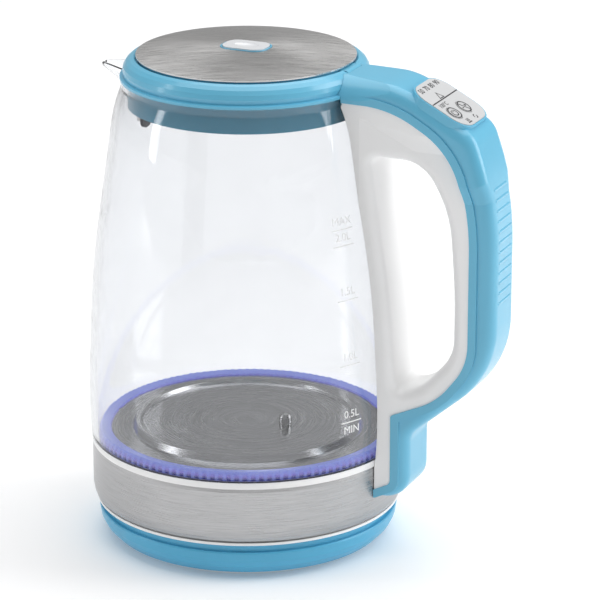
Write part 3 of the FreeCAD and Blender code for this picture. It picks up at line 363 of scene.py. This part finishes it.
@dataclass(frozen=True)
class CircuitBoard:
    """Green solder resist over copper tracks, with glass weave."""

    name: str
    colour: Colour
    track: Colour

    def material(self) -> bpy.types.Material:
        """Build the material."""
        graph = Graph(self.name)
        turned = graph.add("ShaderNodeMapping", {"Vector": graph.place, "Scale": (260, 420, 260)})
        cells = graph.add("ShaderNodeTexBrick", {
            "Vector": turned.outputs[0], "Scale": 1.0, "Mortar Size": 0.09,
            "Color1": (0, 0, 0, 1), "Color2": (0.1, 0.1, 0.1, 1), "Mortar": (1, 1, 1, 1)})
        graph.set(Base_Color=graph.blend(cells.outputs["Fac"], self.colour, self.track),
                  Roughness=graph.spread(graph.noise(1500.0), 0.3, 0.42))
        graph.bump(cells.outputs["Fac"], 0.00003, 0.5)
        return graph.material


BLUE = Moulded("blue_plastic", shade(98, 182, 214), 0.34, coat=0.4)
BASE_BLUE = Moulded("base_plastic", shade(84, 176, 214), 0.36)
WHITE = Moulded("white_plastic", shade(245, 245, 245), 0.36, drift=0.015, coat=0.1)
PANEL_GREY = Moulded("panel_plastic", shade(196, 197, 198), 0.42, drift=0.02)
KEY_GREY = Moulded("key_plastic", shade(192, 193, 194), 0.38, drift=0.02)
DARK = Moulded("dark_plastic", shade(34, 35, 38), 0.42)
FILTER_GREY = Moulded("filter_plastic", shade(88, 90, 94), 0.4)
SILICONE = Moulded("silicone", shade(205, 208, 210), 0.5, drift=0.03)
RUBBER = Moulded("foot_rubber", shade(46, 47, 50), 0.62, grain=1500.0, depth=0.00005)
INK = Moulded("black_ink", shade(30, 30, 34), 0.45, depth=0.000005)
SCALE_INK = Moulded("white_ink", shade(250, 250, 250), 0.5, depth=0.000005)
GLASS = Clear("clear_glass", (0.985, 0.99, 0.995), tint=(0.42, 0.45, 0.5), density=58.0)
BAND_STEEL = Brushed("band_steel", shade(186, 186, 187), Brushing.AROUND)
LID_STEEL = Brushed("lid_steel", shade(222, 221, 220), Brushing.STRAIGHT, 0.3,
                    turn=math.radians(-24.5))
PLATE_STEEL = Brushed("plate_steel", shade(214, 214, 216), Brushing.RINGS, 0.22)
ALUMINIUM = Metal("spreader_aluminium", shade(205, 206, 208), 0.4)
SCREW_STEEL = Metal("screw_steel", shade(190, 190, 190), 0.28)
ELEMENT_STEEL = Metal("element_steel", shade(130, 128, 126), 0.45)
BRASS = Metal("contact_brass", shade(214, 176, 96), 0.25)
SILVER = Moulded("button_silver", shade(226, 228, 231), 0.22, drift=0.02, coat=0.6)
BOARD = CircuitBoard("board_green", shade(22, 92, 58), shade(86, 150, 84))
LED = Glowing("led_blue", shade(120, 170, 255), (0.12, 0.25, 1.0), 12.0)
LIGHT_GUIDE = LitRing("light_guide", (0.01, 0.012, 0.22), (0.2, 0.16, 0.62), (0.26, 0.32, 0.86),
                      0.0523, 0.0566, 120, 0.42)

CAD_FINISHES = {
    "base_housing": BASE_BLUE, "base_bottom_plate": WHITE, "cord_gland": RUBBER,
    "base_feet": RUBBER, "base_screws": SCREW_STEEL, "connector_tower": DARK,
    "connector_contacts": BRASS, "bottom_cover": BASE_BLUE, "bottom_cover_screws": SCREW_STEEL,
    "socket_housing": DARK, "socket_contacts": BRASS, "thermostat_unit": DARK,
    "lower_trim_ring": WHITE, "steel_band": BAND_STEEL, "upper_trim_ring": WHITE,
    "heating_plate": PLATE_STEEL, "heat_spreader": ALUMINIUM, "heating_element": ELEMENT_STEEL,
    "temperature_sensor": SCREW_STEEL, "plate_seal": SILICONE, "light_ring": LIGHT_GUIDE,
    "led_board": BOARD, "leds": LED, "glass_body": GLASS, "top_collar": BLUE,
    "lid_hinge_pin": SCREW_STEEL, "lid_hinge_springs": SCREW_STEEL,
    "spout_filter_frame": FILTER_GREY, "spout_filter_mesh": SCREW_STEEL,
    "lid_plate": LID_STEEL, "lid_body": BLUE, "lid_seal": SILICONE, "lid_inner_cover": WHITE,
    "lid_button_bezel": BLUE, "lid_button": SILVER, "lid_button_spring": SCREW_STEEL,
    "lid_latch": WHITE, "handle_outer_shell": BLUE, "handle_inner_shell": WHITE,
    "control_panel": PANEL_GREY, "power_button": KEY_GREY, "temperature_button": KEY_GREY,
    "control_board": BOARD,
}


class Paintshop:
    """Keeps one material for each finish."""

    def __init__(self) -> None:
        """Start with no material mixed."""
        self.mixed: dict[str, bpy.types.Material] = {}

    def get(self, finish: object) -> bpy.types.Material:
        """The finish's material, mixed when first asked for."""
        if finish.name not in self.mixed:
            self.mixed[finish.name] = finish.material()
        return self.mixed[finish.name]

    def dress_frame(self) -> None:
        """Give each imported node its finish."""
        for name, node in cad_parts.items():
            material = self.get(CAD_FINISHES[name])
            for slot in node.material_slots:
                slot.material = material
            LOG.info("dressed %s in %s", name, material.name)


PAINT = Paintshop()


# ---------------------------------------------------------------- modelling moves


class Bench:
    """Modelling moves that the sub-assemblies share."""

    @staticmethod
    def clear() -> None:
        """Select nothing."""
        bpy.ops.object.select_all(action="DESELECT")

    @staticmethod
    def pick(piece: bpy.types.Object) -> None:
        """Select one piece alone and make it the active one."""
        Bench.clear()
        piece.select_set(True)
        bpy.context.view_layer.objects.active = piece

    @staticmethod
    def settle(piece: bpy.types.Object) -> None:
        """Put the piece's place, turn and scale into its mesh."""
        Bench.pick(piece)
        bpy.ops.object.transform_apply(location=True, rotation=True, scale=True)

    @staticmethod
    def modify(piece: bpy.types.Object, kind: str, **settings: object) -> None:
        """Add one modifier with its settings and apply it."""
        Bench.pick(piece)
        modifier = piece.modifiers.new(kind.lower(), kind)
        for name, value in settings.items():
            setattr(modifier, name, value)
        bpy.ops.object.modifier_apply(modifier=modifier.name)

    @staticmethod
    def edit(piece: bpy.types.Object, mode: str, keep: Callable[[object], bool]) -> None:
        """Enter edit mode with the parts picked that pass a test.

        Args:
            piece: The object to edit.
            mode: VERT, EDGE or FACE.
            keep: Test that a vertex, edge or face passes.
        """
        Bench.pick(piece)
        bpy.ops.object.mode_set(mode="EDIT")
        bpy.ops.mesh.select_mode(type=mode)
        bpy.ops.mesh.select_all(action="DESELECT")
        bpy.ops.object.mode_set(mode="OBJECT")
        mesh = piece.data
        parts = {"VERT": mesh.vertices, "EDGE": mesh.edges, "FACE": mesh.polygons}[mode]
        for part in parts:
            part.select = keep(part)
        bpy.ops.object.mode_set(mode="EDIT")

    @staticmethod
    def edit_all(piece: bpy.types.Object) -> None:
        """Enter edit mode with every point, edge and face picked."""
        Bench.pick(piece)
        bpy.ops.object.mode_set(mode="EDIT")
        bpy.ops.mesh.select_mode(type="VERT")
        bpy.ops.mesh.select_all(action="SELECT")

    @staticmethod
    def leave() -> None:
        """Go back to object mode."""
        bpy.ops.object.mode_set(mode="OBJECT")

    @staticmethod
    def tidy(piece: bpy.types.Object) -> None:
        """Merge doubled points and turn every face outwards."""
        Bench.edit_all(piece)
        bpy.ops.mesh.remove_doubles(threshold=0.000002)
        bpy.ops.mesh.normals_make_consistent(inside=False)
        bpy.ops.object.mode_set(mode="OBJECT")

    @staticmethod
    def join(pieces: Sequence[bpy.types.Object]) -> bpy.types.Object:
        """Make one object of several, in the first one's frame."""
        Bench.clear()
        for piece in pieces:
            piece.select_set(True)
        bpy.context.view_layer.objects.active = pieces[0]
        if len(pieces) > 1:
            bpy.ops.object.join()
        return pieces[0]

    @staticmethod
    def lathe(section: Sequence[tuple[float, float]], sides: int) -> bpy.types.Object:
        """A ring turned from a closed section by extrude and scale moves.

        Args:
            section: Radius and height of each corner, the first one repeated at the end.
            sides: Faces round the ring.

        Returns:
            The new ring.
        """
        Bench.clear()
        radius, height = section[0]
        bpy.ops.mesh.primitive_circle_add(vertices=sides, radius=radius,
                                          location=(0, 0, height))
        ring = bpy.context.active_object
        Bench.edit_all(ring)
        for wide, high in section[1:]:
            bpy.ops.mesh.extrude_region_move(
                TRANSFORM_OT_translate={"value": (0, 0, high - height)})
            bpy.ops.transform.resize(value=(wide / radius, wide / radius, 1),
                                     center_override=(0, 0, high))
            radius, height = wide, high
        bpy.ops.object.mode_set(mode="OBJECT")
        Bench.settle(ring)
        Bench.tidy(ring)
        return ring

    @staticmethod
    def finish(piece: bpy.types.Object, name: str, finish: object, body: Body, slot: str,
               stands_for: Sequence[str] = (), smooth: float = 35.0) -> bpy.types.Object:
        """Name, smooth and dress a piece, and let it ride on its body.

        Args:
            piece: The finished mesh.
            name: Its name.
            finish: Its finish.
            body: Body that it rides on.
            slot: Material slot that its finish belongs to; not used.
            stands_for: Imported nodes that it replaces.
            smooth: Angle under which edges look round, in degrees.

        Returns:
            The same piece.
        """
        piece.name = name
        Bench.pick(piece)
        bpy.ops.object.shade_smooth_by_angle(angle=math.radians(smooth))
        piece.data.materials.clear()
        piece.data.materials.append(PAINT.get(finish))
        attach(piece, body.value)
        if stands_for:
            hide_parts(*stands_for)
        LOG.info("built %s with %d faces", name, len(piece.data.polygons))
        return piece


class Pen:
    """Flat printed shapes, drawn in a plane with x to the right and y up, in metres."""

    @staticmethod
    def text(words: str, x: float, y: float, size: float, weight: float = 0.0
             ) -> bpy.types.Object:
        """Words centred on a point.

        Args:
            words: What is printed.
            x: Place to the right.
            y: Place upwards.
            size: Height of the type.
            weight: How much bolder than plain, as a share of the size.

        Returns:
            The printed words as a mesh.
        """
        Bench.clear()
        bpy.ops.object.text_add(location=(0, 0, 0))
        label = bpy.context.active_object
        label.data.body = words
        label.data.size = size
        label.data.offset = weight * size
        label.data.resolution_u = 3
        label.data.align_x = "CENTER"
        label.data.align_y = "CENTER"
        bpy.ops.object.convert(target="MESH")
        label.location = (x, y, 0)
        Bench.settle(label)
        return label

    @staticmethod
    def line(x: float, y: float, length: float, width: float, turn: float = 0.0, parts: int = 1
             ) -> bpy.types.Object:
        """A straight stroke.

        Args:
            x: Middle, to the right.
            y: Middle, upwards.
            length: Length.
            width: Width.
            turn: Angle from the x axis, in radians.
            parts: Pieces along it, for a stroke that is bent later.

        Returns:
            The stroke.
        """
        Bench.clear()
        bpy.ops.mesh.primitive_grid_add(x_subdivisions=parts, y_subdivisions=1, size=1)
        stroke = bpy.context.active_object
        stroke.scale = (length, width, 1)
        stroke.rotation_euler = (0, 0, turn)
        stroke.location = (x, y, 0)
        Bench.settle(stroke)
        return stroke

    @staticmethod
    def ring(x: float, y: float, radius: float, width: float, corners: int = 48,
             gaps: Iterable[tuple[float, float]] = (), turn: float = 0.0) -> bpy.types.Object:
        """A ring, a polygon's outline or an arc.

        Args:
            x: Middle, to the right.
            y: Middle, upwards.
            radius: Outer radius.
            width: Width of the line.
            corners: Number of corners.
            gaps: Start and end of each open stretch, in degrees from the x axis.
            turn: Angle that the outline is turned by, in radians.

        Returns:
            The outline.
        """
        Bench.clear()
        bpy.ops.mesh.primitive_circle_add(vertices=corners, radius=radius)
        outline = bpy.context.active_object
        Bench.edit_all(outline)
        bpy.ops.mesh.extrude_region_move()
        inner = 1 - width / (radius * math.cos(math.pi / corners))
        bpy.ops.transform.resize(value=(inner, inner, 1), center_override=(0, 0, 0))
        bpy.ops.object.mode_set(mode="OBJECT")
        for start, end in gaps:
            Bench.edit(outline, "FACE", lambda face: start <= math.degrees(
                math.atan2(face.center.y, face.center.x)) % 360 <= end)
            bpy.ops.mesh.delete(type="FACE")
            Bench.leave()
        outline.rotation_euler = (0, 0, turn)
        outline.location = (x, y, 0)
        Bench.settle(outline)
        return outline

    @staticmethod
    def print_on(shapes: Sequence[bpy.types.Object], place: Matrix, film: float
                 ) -> bpy.types.Object:
        """Lay joined shapes on a plane as one thin film of ink."""
        print_out = Bench.join(shapes)
        Bench.tidy(print_out)
        Bench.modify(print_out, "SOLIDIFY", thickness=film, offset=0.0)
        print_out.matrix_world = place
        Bench.settle(print_out)
        return print_out


# ---------------------------------------------------------------- sub-assemblies


@dataclass
class VolumeScale:
    """White marks for the volume, printed on the glass beside the handle."""

    azimuth: float = math.radians(-26.2)
    marks: Sequence[tuple[str, float]] = (("MAX", 174.3), ("2.0L", 166.8), ("1.5L", 140.9),
                                          ("1.0L", 109.1), ("0.5L", 80.8), ("MIN", 72.9))
    lined: Sequence[float] = (170.6, 162.8, 136.9, 105.1, 76.9)
    type_size: float = 5.4 * MM
    line_length: float = 12.4 * MM
    line_width: float = 0.55 * MM
    film: float = 0.08 * MM
    stand_off: float = 95.0 * MM

    def build(self) -> None:
        """Print the marks and wrap them round the glass."""
        shapes = [Pen.text(words, 0, height * MM, self.type_size)
                  for words, height in self.marks]
        shapes += [Pen.line(0, height * MM, self.line_length, self.line_width, parts=12)
                   for height in self.lined]
        scale = Bench.join(shapes)
        out = Vector((math.cos(self.azimuth), math.sin(self.azimuth), 0))
        right = Vector((-out.y, out.x, 0))
        scale.matrix_world = Matrix((
            (right.x, 0, out.x, out.x * self.stand_off),
            (right.y, 0, out.y, out.y * self.stand_off),
            (0, 1, 0, 0),
            (0, 0, 0, 1)))
        bpy.context.view_layer.update()
        Bench.modify(scale, "SHRINKWRAP", target=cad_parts["glass_body"],
                     wrap_method="PROJECT", use_project_z=True, use_positive_direction=False,
                     use_negative_direction=True, offset=self.film)
        Bench.modify(scale, "SOLIDIFY", thickness=self.film * 0.8, offset=-1.0)
        Bench.settle(scale)
        Bench.finish(scale, "volume_marks", SCALE_INK, Body.KETTLE, "white_plastic")


@dataclass
class ControlPrint:
    """Black print on the panel and its two keys."""

    middle: Sequence[float] = (104.0 * MM, 0.0, 228.4 * MM)
    slope: float = math.radians(28.0)
    panel_height: float = 1.0 * MM
    key_height: float = 1.3 * MM
    film: float = 0.06 * MM
    stroke: float = 0.62 * MM
    digits: Sequence[tuple[str, float]] = (("50", -9.3), ("70", -3.2), ("80", 2.9), ("90", 9.0))
    digit_row: float = 12.3 * MM
    divider: float = 3.3 * MM
    divider_length: float = 30.4 * MM
    key_along: float = 6.0 * MM
    power_across: float = -8.8 * MM
    heat_across: float = 3.2 * MM
    key_ring: float = 4.0 * MM
    power_ring: float = 2.3 * MM
    digit_size: float = 4.3 * MM
    boil_size: float = 3.4 * MM
    bar_length: float = 3.6 * MM
    plus_length: float = 1.6 * MM
    upright: float = math.radians(90)
    slant: float = math.radians(-58)

    def plane(self, height: float) -> Matrix:
        """Frame for print: x across the panel, y up its slope, raised by a height."""
        out = Vector((math.sin(self.slope), 0, math.cos(self.slope)))
        up = Vector((-math.cos(self.slope), 0, math.sin(self.slope)))
        spot = Vector(self.middle) + out * height
        return Matrix(((0, up.x, out.x, spot.x), (1, up.y, out.y, spot.y),
                       (0, up.z, out.z, spot.z), (0, 0, 0, 1)))

    def panel(self) -> None:
        """Print the temperatures, the divider and the small signs."""
        shapes = [Pen.text(words, across * MM, self.digit_row, self.digit_size, 0.012)
                  for words, across in self.digits]
        shapes.append(Pen.line(0, self.divider, self.divider_length, self.stroke))
        shapes.append(Pen.ring(-1.6 * MM, 5.4 * MM, 3.0 * MM, self.stroke * 0.8, 3))
        shapes.append(Pen.text("100\u00b0C", -8.0 * MM, 0.4 * MM, self.boil_size, 0.01))
        shapes.append(Pen.ring(2.0 * MM, -13.2 * MM, 1.5 * MM, self.stroke, 24,
                               gaps=((20, 70), (200, 250))))
        shapes.append(Pen.line(-6.6 * MM, -14.2 * MM, self.bar_length, self.stroke))
        shapes += [Pen.line((-7.6 + step) * MM, -12.6 * MM, 2.0 * MM, self.stroke * 0.8,
                            self.upright) for step in (0.0, 1.0, 2.0)]
        marks = Pen.print_on(shapes, self.plane(self.panel_height), self.film)
        Bench.finish(marks, "panel_marks", INK, Body.KETTLE, "dark_plastic")

    def power(self) -> None:
        """Print the power sign inside a ring."""
        x, y = self.power_across, -self.key_along
        shapes = [Pen.ring(x, y, self.key_ring, self.stroke * 1.1),
                  Pen.ring(x, y, self.power_ring, self.stroke, 32, gaps=((60, 120),)),
                  Pen.line(x, y + 1.2 * MM, 1.5 * MM, self.stroke, self.upright)]
        marks = Pen.print_on(shapes, self.plane(self.key_height), self.film)
        Bench.finish(marks, "power_key_marks", INK, Body.POWER_KEY, "dark_plastic")

    def heat(self) -> None:
        """Print a ring cut by a slanting stroke, with a minus and a plus."""
        x, y = self.heat_across, -self.key_along
        shapes = [Pen.ring(x, y, self.key_ring, self.stroke * 1.1),
                  Pen.line(x, y, self.key_ring * 1.9, self.stroke, self.slant),
                  Pen.line(x - 1.9 * MM, y - 0.4 * MM, 1.4 * MM, self.stroke),
                  Pen.line(x + 1.9 * MM, y + 0.4 * MM, self.plus_length, self.stroke),
                  Pen.line(x + 1.9 * MM, y + 0.4 * MM, self.plus_length, self.stroke,
                           self.upright)]
        marks = Pen.print_on(shapes, self.plane(self.key_height), self.film)
        Bench.finish(marks, "temperature_key_marks", INK, Body.HEAT_KEY, "dark_plastic")

    def build(self) -> None:
        """Print the panel and both keys."""
        self.panel()
        self.power()
        self.heat()


@dataclass
class Coils:
    """Wire springs: one under the lid's button, two on the hinge pin."""

    wire_sides: int = 8
    steps: int = 20
    turns: int = 6
    button_travel: float = 2.0 * MM
    button_radius: float = 3.4 * MM
    button_wire: float = 0.7 * MM
    hinge_radius: float = 1.7 * MM
    hinge_wire: float = 0.42 * MM
    hinge_length: float = 3.0 * MM

    def coil(self, mean: float, wire: float, length: float) -> bpy.types.Object:
        """A coil about the z axis, standing on z = 0.

        Args:
            mean: Radius of the wire's middle line.
            wire: Thickness of the wire.
            length: Length over the ends.

        Returns:
            The coil.
        """
        Bench.clear()
        bpy.ops.mesh.primitive_circle_add(vertices=self.wire_sides, radius=wire / 2,
                                          rotation=(math.pi / 2, 0, 0),
                                          location=(mean, 0, wire / 2))
        spring = bpy.context.active_object
        Bench.settle(spring)
        Bench.modify(spring, "SCREW", axis="Z", angle=math.tau, iterations=self.turns,
                     steps=self.steps, render_steps=self.steps,
                     screw_offset=(length - wire) / self.turns)
        Bench.pick(spring)
        bpy.ops.object.mode_set(mode="EDIT")
        bpy.ops.mesh.select_mode(type="EDGE")
        bpy.ops.mesh.select_all(action="DESELECT")
        bpy.ops.mesh.select_non_manifold()
        bpy.ops.mesh.edge_face_add()
        bpy.ops.object.mode_set(mode="OBJECT")
        Bench.tidy(spring)
        return spring

    def build(self) -> None:
        """Wind the three coils where their stand-ins are."""
        low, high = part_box("lid_button_spring")
        length = high.z - low.z
        spring = self.coil(self.button_radius, self.button_wire, length)
        spring.location = (0, 0, low.z)
        Bench.settle(spring)
        Bench.finish(spring, "lid_button_coil", SCREW_STEEL, Body.LID, "screw_steel",
                     ("lid_button_spring",), 60.0)
        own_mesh(spring)
        low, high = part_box("lid_hinge_springs")
        middle = (low + high) / 2
        pair = []
        for start in (low.y, high.y - self.hinge_length):
            turned = self.coil(self.hinge_radius, self.hinge_wire, self.hinge_length)
            turned.rotation_euler = (-math.pi / 2, 0, 0)
            turned.location = (middle.x, start, middle.z)
            Bench.settle(turned)
            pair.append(turned)
        Bench.finish(Bench.join(pair), "lid_hinge_coils", SCREW_STEEL, Body.KETTLE,
                     "screw_steel", ("lid_hinge_springs",), 60.0)


@dataclass
class SpoutStrainer:
    """Woven wire in the filter frame."""

    pitch: float = 0.95 * MM
    wire: float = 0.3 * MM
    shoulder: float = 9.0 * MM
    tip_half: float = 3.4 * MM

    def build(self) -> None:
        """Weave the wire cloth and trim it to the frame's opening."""
        low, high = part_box("spout_filter_mesh")
        middle = (low + high) / 2
        wide, tall = high.y - low.y, high.z - low.z
        Bench.clear()
        bpy.ops.mesh.primitive_grid_add(x_subdivisions=round(tall / self.pitch),
                                        y_subdivisions=round(wide / self.pitch), size=1,
                                        rotation=(0, math.pi / 2, 0), location=middle)
        cloth = bpy.context.active_object
        cloth.scale = (tall, wide, 1)
        Bench.settle(cloth)
        corner = Vector((middle.x, high.y, high.z - self.shoulder))
        for side in (1, -1):
            edge = Vector((0, side * (high.y - self.tip_half), corner.z - low.z))
            out = Vector((0, edge.z, -edge.y)) * side
            Bench.edit(cloth, "FACE", lambda face: True)
            bpy.ops.mesh.bisect(plane_co=(corner.x, side * corner.y, corner.z), plane_no=out,
                                clear_outer=True)
            Bench.leave()
        Bench.modify(cloth, "WIREFRAME", thickness=self.wire, use_replace=True,
                     use_even_offset=False)
        Bench.tidy(cloth)
        Bench.finish(cloth, "filter_wire_cloth", SCREW_STEEL, Body.KETTLE, "plate_steel",
                     ("spout_filter_mesh",))


@dataclass
class LightGuide:
    """Lit ring round the heating plate, with fine flutes round it."""

    flutes: int = 120
    flute_depth: float = 0.35 * MM
    flute_land: float = 0.25 * MM
    margin: float = 0.4 * MM
    plate_gap: float = 0.5 * MM
    bevel_drop: float = 1.6 * MM
    bevel_width: float = 1.4 * MM

    def build(self) -> None:
        """Turn the ring and raise its flutes."""
        low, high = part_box("light_ring")
        outer = high.x - self.margin
        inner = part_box("heating_plate")[1].x + self.plate_gap
        section = [(inner, low.z), (outer, low.z), (outer, high.z - self.bevel_drop),
                   (outer - self.bevel_width, high.z - 0.1 * MM), (inner, high.z - 0.8 * MM),
                   (inner, low.z)]
        ring = Bench.lathe(section, self.flutes * 2)
        pie = math.tau / (self.flutes * 2)

        def on_flute(face: bpy.types.MeshPolygon) -> bool:
            """True for every second face of the outer wall and the bevel above it."""
            turn = math.atan2(face.center.y, face.center.x) % math.tau
            beyond = math.hypot(face.center.x, face.center.y) > outer - 1.2 * MM
            return beyond and abs(face.normal.z) < 0.9 and int(turn / pie) % 2 == 0

        Bench.edit(ring, "FACE", on_flute)
        bpy.ops.mesh.inset(thickness=self.flute_land, depth=self.flute_depth, use_individual=True)
        Bench.leave()
        Bench.finish(ring, "fluted_light_ring", LIGHT_GUIDE, Body.KETTLE, "light_guide",
                     ("light_ring",), 25.0)


# ---------------------------------------------------------------- studio


@dataclass
class Studio:
    """Floor, soft lights, surroundings and camera."""

    eye: Sequence[float] = (0.6616, -1.4518, 0.65405)
    aim: Sequence[float] = (0.0233, 0.0106, 0.1176)
    lens: float = 207.3
    floor_size: float = 9.0

    def floor(self) -> None:
        """Lay the pale floor."""
        bpy.ops.object.select_all(action="DESELECT")
        bpy.ops.mesh.primitive_plane_add(size=self.floor_size, location=(0, 0, 0))
        floor = bpy.context.active_object
        floor.name = "studio_floor"
        graph = Graph("floor_paper")
        graph.set(Base_Color=graph.blend(graph.spread(graph.noise(3.0), 0, 1),
                                         (0.94, 0.94, 0.945), (0.92, 0.92, 0.925)),
                  Roughness=0.9, Specular_IOR_Level=0.1,
                  Emission_Color=(1, 1, 1, 1), Emission_Strength=0.13)
        floor.data.materials.append(graph.material)

    def light(self, name: str, at: Sequence[float], size: Sequence[float], power: float,
              target: Sequence[float] = (0, 0, 0.12)) -> None:
        """Hang one soft box.

        Args:
            name: Name of the light.
            at: Place, in metres.
            size: Width and height, in metres.
            power: Watts.
            target: Point that it faces.
        """
        lamp = bpy.data.lights.new(name, "AREA")
        lamp.shape = "RECTANGLE"
        lamp.size, lamp.size_y = size
        lamp.energy = power
        holder = bpy.data.objects.new(name, lamp)
        bpy.context.scene.collection.objects.link(holder)
        holder.location = at
        holder.rotation_euler = (Vector(target) - Vector(at)).to_track_quat("-Z", "Y").to_euler()

    def lights(self) -> None:
        """Hang the soft boxes and set the surroundings."""
        self.light("overhead_box", (0.1, 0.3, 1.9), (2.4, 2.4), 35.0)
        self.light("left_box", (-1.5, -0.9, 0.7), (0.22, 1.4), 5.0)
        self.light("right_box", (1.7, 0.7, 0.8), (1.0, 1.4), 18.0)
        world = bpy.data.worlds.new("studio_air")
        world.use_nodes = True
        world.node_tree.nodes["Background"].inputs["Color"].default_value = (1, 1, 1, 1)
        world.node_tree.nodes["Background"].inputs["Strength"].default_value = 0.36
        bpy.context.scene.world = world

    def camera(self) -> None:
        """Set the camera up in front of the kettle, a little to its right."""
        made = bpy.data.cameras.new("studio_camera")
        made.lens = self.lens
        made.sensor_width = 36.0
        holder = bpy.data.objects.new("studio_camera", made)
        bpy.context.scene.collection.objects.link(holder)
        holder.location = self.eye
        holder.rotation_euler = (Vector(self.aim) - Vector(self.eye)).to_track_quat(
            "-Z", "Y").to_euler()
        bpy.context.scene.camera = holder

    def build(self) -> None:
        """Set the whole studio up."""
        self.floor()
        self.lights()
        self.camera()
        bpy.context.scene.view_settings.view_transform = "Standard"


def main() -> None:
    """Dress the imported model, build the pieces it leaves out and set up the studio."""
    logging.basicConfig(level=logging.INFO, format="%(name)s: %(message)s")
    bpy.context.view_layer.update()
    PAINT.dress_frame()
    for part in (VolumeScale(), ControlPrint(), Coils(), SpoutStrainer(), LightGuide()):
        part.build()
    Studio().build()


if __name__ == "__main__":
    main()
